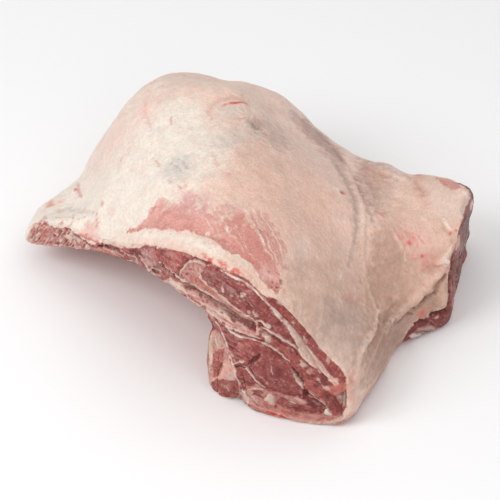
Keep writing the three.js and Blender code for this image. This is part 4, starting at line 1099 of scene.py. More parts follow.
SPINE_END = (
    patch(Tint.PINK_FAT, 1.5, 206, 333, 216, 330, 224, 338, 228, 352, 236, 370, 241, 392, 236, 402, 222, 398,
        206, 388, 204, 350, amount=0.85, ragged=0.6, lean=0.3),
    patch(Tint.GREY_TAN, 1.5, 215, 334, 219, 331, 223, 340, 223, 347, 218, 350, 214, 344, amount=0.75,
        ragged=0.8, relief=-0.5, lean=0),
    white_fascia_line(0.7, 215, 336, 216, 343, 218, 349, amount=0.5, ragged=0.3, relief=0.2),
    brown_grey_line(0.7, 221, 336, 221, 343, 222, 350, amount=0.35, relief=0),
    fascia_line(2, 211, 336, 210, 345, 211, 353, 210, 364, 210, 374, amount=0.85, ragged=0.7, relief=0.7),
    fascia_spot(1.2, 210.6, 362, 1.6, 2.6, 0, amount=0.8, ragged=0.5, relief=0.4),
    patch(Tint.BRIGHT_LEAN, 1.6, 213, 354, 218, 350, 224, 349, 224, 360, 221, 370, 218, 377, 213, 377,
        amount=0.9, ragged=0.7, relief=-0.4, lean=1),
    dark_lean_line(0.9, 219, 354, 218, 363, 217, 372, amount=0.6, ragged=0.4, lean=1),
    patch(Tint.CARTILAGE, 2, 223, 362, 227, 356, 230, 358, 233, 366, 235.5, 372, 230, 375, 225, 378, 220.5,
        377, 222, 370, amount=0.95, ragged=1.6, relief=0.9, lean=0, dome=3),
    line(Tint.BRIGHT_LEAN, 0.7, 227, 357, 228, 364, 231, 371, amount=0.5, ragged=0.8, lean=0.5),
    fascia_line(0.8, 224, 364, 223, 371, 221, 377, relief=0.3),
    spot(Tint.PALE_PINK, 2, 226, 366, 4, 3, -60, amount=0.5, ragged=0.8),
    spot(Tint.COOL_GREY, 3, 231, 377, 4.6, 3.2, 0, amount=0.5, ragged=1.6, lean=0),
    line(Tint.CARTILAGE, 1.5, 208, 384, 212, 380, 218, 377.5, 224, 378, amount=0.9, relief=0.6, lean=0),
    patch(Tint.SPONGE, 1.4, 208, 386, 214, 381, 222, 379.5, 230, 381, 237, 379, 239, 388, 239, 394, 235, 401,
        222, 398, 211, 391, amount=0.95, ragged=0.6, relief=-0.3, lean=0.9, spongy=1),
    dark_lean_line(1.3, 212, 389, 220, 393, 229, 397, 235, 399, amount=0.6, ragged=1.2, lean=0.9),
    spot(Tint.GREY, 1.4, 226, 386, 4, 1.6, -10, amount=0.5, ragged=1.2, lean=0.2),
    pale_pink_line(0.7, 222, 386, 227, 389, 231, 394, amount=0.6, broken=0.2),
    pale_pink_line(0.7, 213, 386, 217, 390, 222, 393, amount=0.5, broken=0.2),
    spot(Tint.BRIGHT_LEAN, 1.4, 218, 388, 4, 2, 20, amount=0.6, ragged=1.2, lean=0.8),
    dark_lean_spot(1.2, 233, 391, 3, 4, 20, amount=0.6, ragged=1.2, relief=-0.3, lean=0.9),
    white_fascia_line(0.9, 216, 321, 220, 328, 224.5, 337, 228, 348, 232, 360, 236, 374, 241, 386, 246, 398,
        amount=0.85, relief=0.6, lean=0),
    soft_blood_spot(1, 219, 329.5, 1.2, 2, 30, amount=0.7, ragged=0.4),
    lean_patch(2, 237, 370, 246, 370, 252, 378, 256, 384, 250, 388, 243, 386, 238, 378, amount=0.75),
    dark_lean_spot(1, 231.5, 347.5, 2.6, 1.2, 40, amount=0.85, ragged=0.4),
    pink_fat_line(1.4, 229, 350, 233, 357, 236, 362, amount=0.7, ragged=0.6, lean=0.1),
    soft_blood_spot(0.9, 231, 360, 1.2, 1.2, 0, amount=0.7, ragged=0.4),
    pink_fat_line(1.2, 243, 385, 248, 389, 253, 394, amount=0.6, lean=0.1),
    white_fascia_line(1.6, 241, 392, 245, 396, 248, 402, amount=0.8, ragged=0.5, relief=0, lean=0),
)

FAT_TAG = (
    fascia_line(1.9, 255, 321.5, 259, 320.5, 264, 321.5, 271, 325.5, amount=0.95, ragged=1.3, relief=1.3),
    pink_fat_line(2.4, 257.5, 322, 258, 328, 259.5, 334, amount=0.95, ragged=1.2, relief=1.2, lean=0),
    fascia_spot(1.4, 256.5, 322, 3.2, 1.8, 10, amount=0.9, ragged=1.4, relief=0.8),
    spot(Tint.PALE_PINK, 1.4, 258.5, 329, 1.8, 3.4, 0, amount=0.8, ragged=1.2, relief=0.6, lean=0.1),
    red_fat_line(1, 261, 325, 261.5, 330, 261, 334, amount=0.8, ragged=0.3, relief=0.4),
)

SPINE_OUTLINE, BLADE_OUTLINE = SPINE_END[0], BLADE_MARKS[0]

CUT_MARKS = (*BREAST_END, *SHOULDER_END, *BLADE_MARKS, *RIB_SIDE, *LOIN_END, *BACK_STRIP,
             *SPINE_END, *FAT_TAG)
FAT_MARKS = (*FAT_TONE_AND_SLOPE_SHADE, *FAT_HOLLOW_SHADE_AND_LUMPS, *RIM_BAND, *FLAP_MARKS, *DOME_MARKS, *DORSAL_MARKS,
             *NECK_MARKS)


# ---- forms -----------------------------------------------------------------------------------------


@dataclass(frozen=True)
class Nudge:
    """A pull on the form seen in the photo: its place, reach and shift, all in pixels."""

    x: float
    y: float
    reach: float
    right: float
    down: float


NUDGES = (
    Nudge(128, 270, 10, -0.5, 2.0),
    Nudge(145, 279, 10, -1.0, 3.0),
    Nudge(162, 288, 10, -1.0, 3.5),
    Nudge(179, 297, 10, -1.0, 4.0),
    Nudge(196, 307, 10, 0.0, 3.0),
    Nudge(211, 326, 8, 6.0, 0.0),
    Nudge(206, 350, 9, -1.5, 0.0),
    Nudge(205, 368, 9, -1.5, 0.0),
    Nudge(84, 172, 16, 3.0, 1.5),
    Nudge(92, 148, 16, 1.5, 1.0),
    Nudge(104, 124, 16, 0.5, 0.5),
    Nudge(38, 208, 10, -1.0, -1.5),
    Nudge(182, 74, 24, 0.0, 2.0),
    Nudge(250, 86, 18, 0.0, -4.0),
    Nudge(276, 96, 18, 2.0, -4.0),
    Nudge(298, 114, 16, 1.5, -2.0),
    Nudge(467, 186, 12, 3.0, -3.0),
    Nudge(450, 178, 12, 1.0, -2.0),
    Nudge(476, 224, 9, -5.0, 0.0),
    Nudge(474, 246, 9, -7.5, 0.0),
    Nudge(468, 264, 8, -2.5, 0.0),
    Nudge(453, 222, 9, 7.0, 0.0),
    Nudge(450, 242, 10, 7.0, 0.0),
    Nudge(446, 262, 10, 5.0, 0.0),
    Nudge(444, 284, 10, 3.0, 0.0),
    Nudge(27, 240, 8, -2.5, 0.5),
    Nudge(366, 398, 14, -2.5, -1.0),
    Nudge(386, 168, 12, 0.5, -4.0),
    Nudge(411, 177, 9, 0.0, 3.0),
    Nudge(350, 424, 9, -1.0, -3.5),
)


NOTCHES = (
    Nudge(241, 404, 7, 0.0, -11.0),
    Nudge(229, 400, 7, 0.0, -3.5),
    Nudge(216, 395, 7, 0.0, -1.5),
    Nudge(204, 326, 7, 8.0, 0.0),
    Nudge(204, 338, 6, 2.5, 0.0),
    Nudge(205, 348, 6, 3.0, 0.0),
)


class Form:
    """A mesh held as arrays: points in millimetres, and faces of four or three corners."""

    def __init__(self, points: Array, faces: Array) -> None:
        """Keeps the points and faces, and finds the edges.

        Args:
            points: rows of three numbers.
            faces: rows of four or three indices of points.
        """
        self.points = np.array(points, float)
        self.faces = np.array(faces, int)
        ring = np.roll(self.faces, -1, axis=1)
        both = np.sort(np.column_stack([self.faces.ravel(), ring.ravel()]), axis=1)
        self.edges = np.unique(both, axis=0)

    @classmethod
    def remeshed(cls, nodes: tuple[str, ...], voxel_mm: float) -> "Form":
        """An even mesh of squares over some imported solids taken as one.

        Args:
            nodes: names of the solids.
            voxel_mm: size of a square.

        Returns:
            The new form.
        """
        merged = bmesh.new()
        for name in nodes:
            merged.from_mesh(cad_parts[name].data)
        bmesh.ops.remove_doubles(merged, verts=merged.verts, dist=1e-6)
        mesh = bpy.data.meshes.new("blank")
        merged.to_mesh(mesh)
        merged.free()
        blank = placed("blank", mesh)
        even = blank.modifiers.new("even", "REMESH")
        even.mode, even.voxel_size, even.adaptivity = "VOXEL", voxel_mm * MM, 0.0
        made = converted(blank)
        points = points_of(made)
        corners = np.zeros(len(made.loops), np.int32)
        made.loops.foreach_get("vertex_index", corners)
        bpy.data.objects.remove(blank)
        bpy.data.meshes.remove(mesh)
        bpy.data.meshes.remove(made)
        return cls(points / MM, corners.reshape(-1, 4))

    def normals(self) -> Array:
        """Works out which way the surface faces.

        Returns:
            The outward direction at each point.
        """
        a, b, c, d = (self.points[self.faces[:, k % self.faces.shape[1]]] for k in (0, 1, 2, 3))
        across = np.cross(c - a, d - b) if self.faces.shape[1] == 4 else np.cross(b - a, c - a)
        total = np.column_stack([
            sum(np.bincount(column, across[:, axis], len(self.points)) for column in self.faces.T)
            for axis in range(3)
        ])
        return total / (np.linalg.norm(total, axis=1, keepdims=True) + 1e-12)

    def evened(self, values: Array, rounds: int, hold: Array | float = 0.0) -> Array:
        """Values of the points after blending with their neighbours'.

        Args:
            values: one number for each point.
            rounds: how many times they are blended.
            hold: from 0 to 1 for each point, how firmly its value stays.

        Returns:
            The blended values.
        """
        a, b = self.edges.T
        count = np.maximum(np.bincount(self.edges.ravel(), minlength=len(values)), 1).astype(float)
        share = 0.5 * (1.0 - np.broadcast_to(hold, (len(values),)))
        for _ in range(rounds):
            near = np.bincount(a, values[b], len(values)) + np.bincount(b, values[a], len(values))
            values = values + (near / count - values) * share
        return values

    def relax(self, rounds: int, hold: Array | float = 0.0) -> None:
        """Evens the surface out, less where it is held."""
        self.points = np.column_stack([self.evened(column, rounds, hold) for column in self.points.T])

    def refined(self, chosen: Array) -> "Form":
        """The form with some faces split in four, and the faces beside them fitted to those.

        Args:
            chosen: for each face, whether it is split.

        Returns:
            The new form, of three-cornered faces.
        """
        solid = bmesh.new()
        verts = [solid.verts.new(point) for point in self.points.tolist()]
        for face in self.faces.tolist():
            solid.faces.new([verts[index] for index in face])
        solid.faces.ensure_lookup_table()
        edges = {edge for index in np.flatnonzero(chosen) for edge in solid.faces[index].edges}
        bmesh.ops.subdivide_edges(solid, edges=list(edges), cuts=1, use_grid_fill=True)
        return Form(*triangles(solid))

    def nudge(self, nudges: tuple[Nudge, ...]) -> None:
        """Pulls the form to the outline that the photo shows.

        Args:
            nudges: the pulls, in the photo's pixels.
        """
        seen = VIEW.pixels(self.points)
        right, up, back = np.array(VIEW.turned().to_matrix()).T
        depth = -(self.points - np.array(VIEW.place)) @ back
        shift, weight = np.zeros((len(seen), 2)), np.zeros(len(seen))
        for nudge in nudges:
            away = np.hypot(seen[:, 0] - nudge.x, seen[:, 1] - nudge.y) / nudge.reach
            share = np.exp(-away * away)
            shift += share[:, None] * np.array([nudge.right, nudge.down])
            weight += share
        shift *= (depth / VIEW.focal_px() / np.maximum(weight, 1.0))[:, None]
        self.points += shift[:, :1] * right - shift[:, 1:] * up

    def tree(self) -> BVHTree:
        """The surface for casting rays on."""
        return BVHTree.FromPolygons(self.points.tolist(), self.faces.tolist())

    def boxed(self) -> None:
        """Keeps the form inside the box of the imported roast, and on the floor."""
        low, high = (np.array(v) / MM for v in cad_box)
        self.points = np.clip(self.points, low, high)

    def make(self, name: str, slot: str, finish: "Finish", canvas: Canvas) -> bpy.types.Object:
        """A finished piece from the form.

        Args:
            name: the piece's name.
            slot: the record's material slot, which is not used.
            finish: the finish that dresses it.
            canvas: what is laid on it.

        Returns:
            The piece, riding on the roast.
        """
        mesh = bpy.data.meshes.new(name)
        mesh.from_pydata((self.points * MM).tolist(), [], self.faces.tolist())
        mesh.update()
        mesh.shade_smooth()
        hold(mesh, "cover", np.clip(canvas.layers[Layer.COVER], 0, 1))
        hold(mesh, "flesh", np.clip(canvas.layers[Layer.FLESH], 0, 1))
        hold(mesh, "opening", canvas.opening)
        hold(mesh, "spongy", canvas.spongy)
        mesh.materials.append(finish.material())
        return finished(name, mesh)


def triangles(solid: bmesh.types.BMesh) -> tuple[Array, Array]:
    """Reads a mesh in the making as arrays, and frees it.

    Args:
        solid: the mesh.

    Returns:
        Its points and its three-cornered faces.
    """
    bmesh.ops.triangulate(solid, faces=solid.faces)
    solid.verts.index_update()
    points = np.array([vert.co for vert in solid.verts])
    faces = np.array([[vert.index for vert in face.verts] for face in solid.faces])
    solid.free()
    return points, faces


def converted(thing: bpy.types.Object) -> bpy.types.Mesh:
    """The mesh of an object with its modifiers applied."""
    bpy.context.view_layer.update()
    seen = thing.evaluated_get(bpy.context.evaluated_depsgraph_get())
    return bpy.data.meshes.new_from_object(seen)


# ---- finishes --------------------------------------------------------------------------------------


Value = bpy.types.NodeSocket | float | tuple


class Nodes:
    """Short ways to add and join nodes in one tree."""

    def __init__(self, tree: bpy.types.NodeTree) -> None:
        """Works on the given tree."""
        self.tree = tree

    def fill(self, node: bpy.types.Node, inputs: dict[str | int, Value]) -> bpy.types.Node:
        """Joins sockets to a node's inputs, or sets their values.

        Args:
            node: the node.
            inputs: what each input gets, by its name or number.

        Returns:
            The same node.
        """
        for key, value in inputs.items():
            if isinstance(value, bpy.types.NodeSocket):
                self.tree.links.new(value, node.inputs[key])
            else:
                node.inputs[key].default_value = value
        return node

    def add(self, kind: str, inputs: dict[str | int, Value] | None = None, **settings: str) -> bpy.types.Node:
        """Adds a node.

        Args:
            kind: the node's type name.
            inputs: values or sockets to join, by the input's name or number.
            settings: properties of the node.

        Returns:
            The node.
        """
        node = self.tree.nodes.new(kind)
        for key, value in settings.items():
            setattr(node, key, value)
        return self.fill(node, inputs or {})

    def group(self, tree: bpy.types.NodeTree, place: Value, size_mm: float) -> bpy.types.bpy_prop_collection:
        """The outputs of a shared group, placed with its own size."""
        node = self.tree.nodes.new("ShaderNodeGroup")
        node.node_tree = tree
        return self.fill(node, {"Place": place, "Size": size_mm * MM}).outputs

    def maths(self, operation: str, a: Value, b: Value = 0.0, c: Value = 0.0) -> bpy.types.NodeSocket:
        """The result of one calculation on numbers or sockets."""
        return self.add("ShaderNodeMath", {0: a, 1: b, 2: c}, operation=operation).outputs[0]

    def times(self, a: Value, b: Value) -> bpy.types.NodeSocket:
        """The product of two numbers."""
        return self.maths("MULTIPLY", a, b)

    def scaled(self, a: Value, by: Value, plus: Value) -> bpy.types.NodeSocket:
        """A number multiplied by another, plus a third."""
        return self.maths("MULTIPLY_ADD", a, by, plus)

    def read(self, label: str) -> bpy.types.bpy_prop_collection:
        """The outputs of a node that reads an attribute of the mesh."""
        return self.add("ShaderNodeAttribute", attribute_name=label).outputs

    def blend(self, share: Value, a: Value, b: Value, how: str = "MIX") -> bpy.types.NodeSocket:
        """Two colours mixed by a share."""
        node = self.add("ShaderNodeMix", {0: share, 6: a, 7: b}, data_type="RGBA", blend_type=how)
        return node.outputs[2]

    def between(self, share: Value, a: Value, b: Value) -> bpy.types.NodeSocket:
        """Two numbers mixed by a share."""
        return self.add("ShaderNodeMix", {0: share, 2: a, 3: b}).outputs[0]

    def step(self, value: Value, low: float, high: float) -> bpy.types.NodeSocket:
        """A value spread smoothly from low and high to 0 and 1."""
        inputs = {0: value, 1: low, 2: high, 3: 0.0, 4: 1.0}
        return self.add("ShaderNodeMapRange", inputs, interpolation_type="SMOOTHSTEP").outputs[0]

    def noise(self, place: Value, scale: Value, detail: float) -> bpy.types.NodeSocket:
        """Noise from -0.5 to 0.5."""
        made = self.add("ShaderNodeTexNoise", {"Vector": place, "Scale": scale, "Detail": detail})
        return self.maths("SUBTRACT", made.outputs["Fac"], 0.5)

    def stretched(self, place: Value, stretch: tuple[float, float, float]) -> bpy.types.NodeSocket:
        """A place multiplied by a vector."""
        return self.add("ShaderNodeVectorMath", {0: place, 1: stretch}, operation="MULTIPLY").outputs[0]


def shared_group(name: str, inputs: dict[str, str], outputs: tuple[str, ...]) -> tuple:
    """Starts a shader node group, or finds the one already built.

    Args:
        name: the group's name.
        inputs: socket type of each input.
        outputs: names of the outputs, which are numbers.

    Returns:
        The group, its helper, and its input and output nodes, which are None if it was already built.
    """
    known = bpy.data.node_groups.get(name)
    if known:
        return known, None, None, None
    group = bpy.data.node_groups.new(name, "ShaderNodeTree")
    for label, kind in inputs.items():
        group.interface.new_socket(label, in_out="INPUT", socket_type=kind)
    for label in outputs:
        group.interface.new_socket(label, in_out="OUTPUT", socket_type="NodeSocketFloat")
    return group, Nodes(group), group.nodes.new("NodeGroupInput"), group.nodes.new("NodeGroupOutput")


PLACE_AND_SIZE = {"Place": "NodeSocketVector", "Size": "NodeSocketFloat"}


def grain_group() -> bpy.types.NodeTree:
    """Builds a group for soft mottles, small blotches, fine grain, the fibres of flesh and wrinkles.

    Returns:
        The group.
    """
    group, n, entry, leave = shared_group("flesh_grain", PLACE_AND_SIZE,
                                           ("Mottle", "Blotch", "Grain", "Fibre", "Wrinkle"))
    if n is None:
        return group
    place = entry.outputs["Place"]
    scale = n.maths("DIVIDE", 1.0, entry.outputs["Size"])
    slant = {"Vector": place, "Angle": 0.7}
    turned = n.add("ShaderNodeVectorRotate", slant, rotation_type="Y_AXIS").outputs[0]
    along = n.stretched(turned, (1.0, 0.5, 0.35))
    crest = n.maths("ABSOLUTE", n.noise(along, n.times(scale, 3.4), 4.0))
    n.fill(leave, {
        "Wrinkle": n.step(crest, 0.07, 0.0),
        "Mottle": n.noise(place, scale, 5.0),
        "Blotch": n.noise(place, n.times(scale, 3.6), 3.0),
        "Grain": n.noise(place, n.times(scale, 9.0), 2.0),
        "Fibre": n.noise(n.stretched(turned, (0.3, 0.6, 1.0)), n.times(scale, 12.0), 2.0),
    })
    return group


def vein_group() -> bpy.types.NodeTree:
    """Builds a group for thin wandering lines that come and go: threads of fat, or fine vessels.

    Returns:
        The group.
    """
    group, n, entry, leave = shared_group("wandering_lines", PLACE_AND_SIZE, ("Mask",))
    if n is None:
        return group
    place = entry.outputs["Place"]
    scale = n.maths("DIVIDE", 1.0, entry.outputs["Size"])
    warp = n.add("ShaderNodeTexNoise", {"Vector": place, "Scale": scale, "Detail": 4.0}).outputs["Color"]
    spread = n.times(entry.outputs["Size"], 1.6)
    moved = n.add("ShaderNodeVectorMath", {0: warp, 3: spread}, operation="SCALE").outputs[0]
    there = n.add("ShaderNodeVectorMath", {0: place, 1: moved}, operation="ADD").outputs[0]
    cells = n.add("ShaderNodeTexVoronoi", {"Vector": there, "Scale": scale}, feature="DISTANCE_TO_EDGE")
    thin = n.step(cells.outputs["Distance"], 0.07, 0.0)
    there = n.step(n.noise(place, n.times(scale, 0.7), 2.0), 0.0, 0.14)
    n.fill(leave, {"Mask": n.times(thin, there)})
    return group


def sponge_group() -> bpy.types.NodeTree:
    """Builds a group for the pits of sawn spongy bone.

    Returns:
        The group.
    """
    group, n, entry, leave = shared_group("bone_pits", PLACE_AND_SIZE, ("Mask",))
    if n is None:
        return group
    scale = n.maths("DIVIDE", 1.0, entry.outputs["Size"])
    cells = n.add("ShaderNodeTexVoronoi", {"Vector": entry.outputs["Place"], "Scale": scale})
    n.fill(leave, {"Mask": n.step(cells.outputs["Distance"], 0.55, 0.2)})
    return group


@dataclass(frozen=True)
class Finish:
    """How a surface of flesh or bone looks: the size and strength of its grain, its gloss and softness."""

    name: str
    mottle_mm: float = 8.0
    mottling: float = 0.3
    graining: float = 0.26
    bump_mm: float = 0.5
    ragged_px: float = 1.6
    edge_px: float = 1.0
    fat_roughness: float = 0.5
    lean_roughness: float = 0.42
    veins: float = 0.12
    softness: float = 0.1
    gloss: float = 0.42
    torn_scale: float = 520.0
    vessel_mm: float = 12.0
    thread_mm: float = 5.0
    pit_mm: float = 1.6
    vessel_colour: tuple[float, ...] = (0.62, 0.26, 0.2, 1.0)
    thread_colour: tuple[float, ...] = (0.62, 0.42, 0.34, 1.0)
    pit_colour: tuple[float, ...] = (0.14, 0.03, 0.028, 1.0)

    def material(self) -> bpy.types.Material:
        """Builds the material, or finds it if it is there already.

        Returns:
            The material.
        """
        known = bpy.data.materials.get(self.name)
        if known:
            return known
        made = bpy.data.materials.new(self.name)
        made.use_nodes = True
        made.node_tree.nodes.clear()
        n = Nodes(made.node_tree)
        place = n.add("ShaderNodeTexCoord").outputs["Object"]
        cover, flesh = n.read("cover"), n.read("flesh")
        opening, spongy = n.read("opening")["Fac"], n.read("spongy")["Fac"]
        grain = n.group(grain_group(), place, self.mottle_mm)
        torn = n.noise(place, self.torn_scale, 4.0)
        open_ = n.step(n.scaled(torn, self.ragged_px, opening), -self.edge_px, self.edge_px)
        lean = n.between(open_, cover["Alpha"], flesh["Alpha"])
        colour = n.blend(open_, cover["Color"], flesh["Color"])
        shade = n.scaled(grain["Mottle"], self.mottling, 1.0)
        shade = n.scaled(grain["Grain"], n.scaled(lean, 0.7, self.graining), shade)
        shade = n.scaled(grain["Fibre"], n.times(lean, 0.7), shade)
        skin = n.scaled(lean, -1.0, 1.0)
        shade = n.scaled(grain["Wrinkle"], n.times(skin, 0.05), shade)
        warmth = n.scaled(grain["Blotch"], 0.42, shade)
        tone = n.add("ShaderNodeCombineColor", {0: shade, 1: warmth, 2: warmth}).outputs[0]
        colour = n.blend(1.0, colour, tone, "MULTIPLY")
        vessels = n.group(vein_group(), place, self.vessel_mm)["Mask"]
        vessels = n.times(vessels, n.scaled(lean, -self.veins, self.veins))
        colour = n.blend(vessels, colour, self.vessel_colour)
        threads = n.group(vein_group(), place, self.thread_mm)["Mask"]
        threads = n.times(threads, n.times(lean, 0.3))
        colour = n.blend(threads, colour, self.thread_colour)
        pits = n.times(n.group(sponge_group(), place, self.pit_mm)["Mask"], spongy)
        colour = n.blend(n.times(pits, 0.6), colour, self.pit_colour)
        rough = n.between(lean, self.fat_roughness, self.lean_roughness)
        rough = n.scaled(grain["Mottle"], 0.4, rough)
        height = n.scaled(grain["Grain"], n.scaled(lean, 0.5, 0.25), grain["Mottle"])
        height = n.scaled(grain["Blotch"], 0.5, height)
        height = n.scaled(grain["Fibre"], n.times(lean, 0.7), height)
        height = n.scaled(grain["Wrinkle"], n.times(skin, 0.35), height)
        height = n.scaled(pits, -0.9, height)
        bump = n.add("ShaderNodeBump", {"Height": height, "Distance": self.bump_mm * MM, "Strength": 1.0})
        shader = n.add(
            "ShaderNodeBsdfPrincipled",
            {"Base Color": colour, "Roughness": rough, "Normal": bump.outputs[0],
             "Subsurface Weight": self.softness, "Subsurface Scale": 0.003,
             "Subsurface Radius": (1.0, 0.36, 0.22), "Specular IOR Level": self.gloss},
        )
        n.fill(n.add("ShaderNodeOutputMaterial"), {0: shader.outputs[0]})
        return made


MEAT_FINISH = Finish("raw_meat_finish")
CUT_FINISH = Finish(
    "cut_meat_finish", mottle_mm=4.0, mottling=0.45, graining=0.3, bump_mm=0.5, ragged_px=1.4, edge_px=0.5,
    lean_roughness=0.32,
)
FLECK_FINISH = Finish("fleck_finish", mottle_mm=2.0, mottling=0.3, bump_mm=0.1, veins=0.0)
BONE_FINISH = Finish("bone_finish", mottle_mm=3.0, mottling=0.3, bump_mm=0.3, veins=0.0, gloss=0.25)


# ---- the sawn ends ----------------------------------------------------------------------------------


@dataclass
class RibEnd:
    """Outline of the cut face between two ribs, which faces -Y. Its columns run along X."""

    along: Array
    front: Array
    top: Array
    bottom: Array

    BREAST_X, BACK_X = -116.0, 131.5
    READ_DEPTH = 3.0

    @classmethod
    def found(cls, tree: BVHTree) -> "RibEnd":
        """Reads the outline by casting rays on the roast.

        Args:
            tree: the roast's surface, in millimetres.

        Returns:
            The outline.
        """
        along = np.arange(cls.BREAST_X - 1.0, cls.BACK_X + 1.5)
        rows = []
        for x in along:
            heights = np.arange(4.0, 110.0, 4.0)
            hits = [tree.ray_cast(Vector((x, -200.0, z)), Vector((0, 1, 0)))[0] for z in heights]
            face = min((hit.y for hit in hits if hit), default=np.nan)
            down = tree.ray_cast(Vector((x, face + cls.READ_DEPTH, 200.0)), Vector((0, 0, -1)))[0]
            rise = tree.ray_cast(Vector((x, face + cls.READ_DEPTH, -20.0)), Vector((0, 0, 1)))[0]
            rows.append((face, down.z if down else np.nan, rise.z if rise else np.nan))
        filled = []
        for values, reach in zip(np.array(rows).T, (9, 3, 1)):
            known = ~np.isnan(values)
            values = np.pad(np.interp(along, along[known], values[known]), reach, mode="edge")
            filled.append(np.convolve(values, np.ones(2 * reach + 1) / (2 * reach + 1), "valid"))
        return cls(along, *filled)

    def at(self, x: Array, values: Array) -> Array:
        """Values of the outline read at other columns."""
        return np.interp(x, self.along, values)

    def depth(self, points: Array) -> Array:
        """How far behind the face points lie."""
        return points[:, 1] - self.at(points[:, 0], self.front)

    def inside(self, points: Array) -> Array:
        """How far inside the outline points lie, seen along Y."""
        x, _, z = points.T
        sides = np.minimum(x - self.BREAST_X, self.BACK_X - x)
        return np.minimum(sides, np.minimum(self.at(x, self.top) - z, z - self.at(x, self.bottom)))


@dataclass(frozen=True)
class NeckEnd:
    """The flat cut across the neck: a corner of it on the floor, and its outward direction."""

    corner: tuple[float, float] = (134.0, 29.0)
    outward: tuple[float, float] = (0.937, 0.348)

    def depth(self, points: Array) -> Array:
        """How far behind the cut points lie."""
        offset = points[:, :2] - np.array(self.corner)
        return -(offset @ np.array(self.outward))

    def seen(self, points: Array) -> Array:
        """Rows of two coordinates on the cut: along it from its corner, and up."""
        offset = points[:, :2] - np.array(self.corner)
        along = offset @ np.array([-self.outward[1], self.outward[0]])
        return np.column_stack([along, points[:, 2]])

    def share(self, points: Array, normals: Array) -> Array:
        """From 0 to 1, how much points belong to the cut."""
        facing = normals[:, :2] @ np.array(self.outward)
        return ramp(np.abs(self.depth(points)), 11.0, 8.0) * ramp(facing, 0.5, 0.75)


NECK = NeckEnd()

NECK_FACE = (
    patch(Tint.BRICK, 3, 4, 4, 30, 2, 38, 20, 34, 40, 16, 48, 4, 40, amount=0.8, ragged=1.5),
    lean_patch(3, 36, 34, 60, 30, 72, 44, 66, 60, 44, 62, 34, 50, amount=0.8, ragged=1.5, relief=0.6,
        lean=None, dome=5),
    dark_lean_patch(3, 44, 2, 70, 2, 74, 26, 60, 28, 46, 18, amount=0.7, lean=None),
    fascia_line(1.2, 2, 42, 16, 50, 34, 44, 40, 30, 36, 14, 40, 1, amount=0.8, ragged=1.2, lean=0.1),
    fascia_line(1, 34, 32, 46, 26, 60, 29, 74, 30, amount=0.8, ragged=1.2, lean=0.1),
    white_fascia_line(1.4, 10, 10, 18, 22, 14, 36, 22, 44, amount=0.5, ragged=1.6, relief=0, lean=0.1,
        broken=0.3),
    fascia_line(0.8, 50, 40, 58, 48, 68, 50, ragged=1.2, lean=0.1),
    line(Tint.RIM_FAT, 3, 0, 52, 16, 60, 40, 68, 62, 66, 75, 56, amount=0.8, ragged=1.2, lean=0),
)


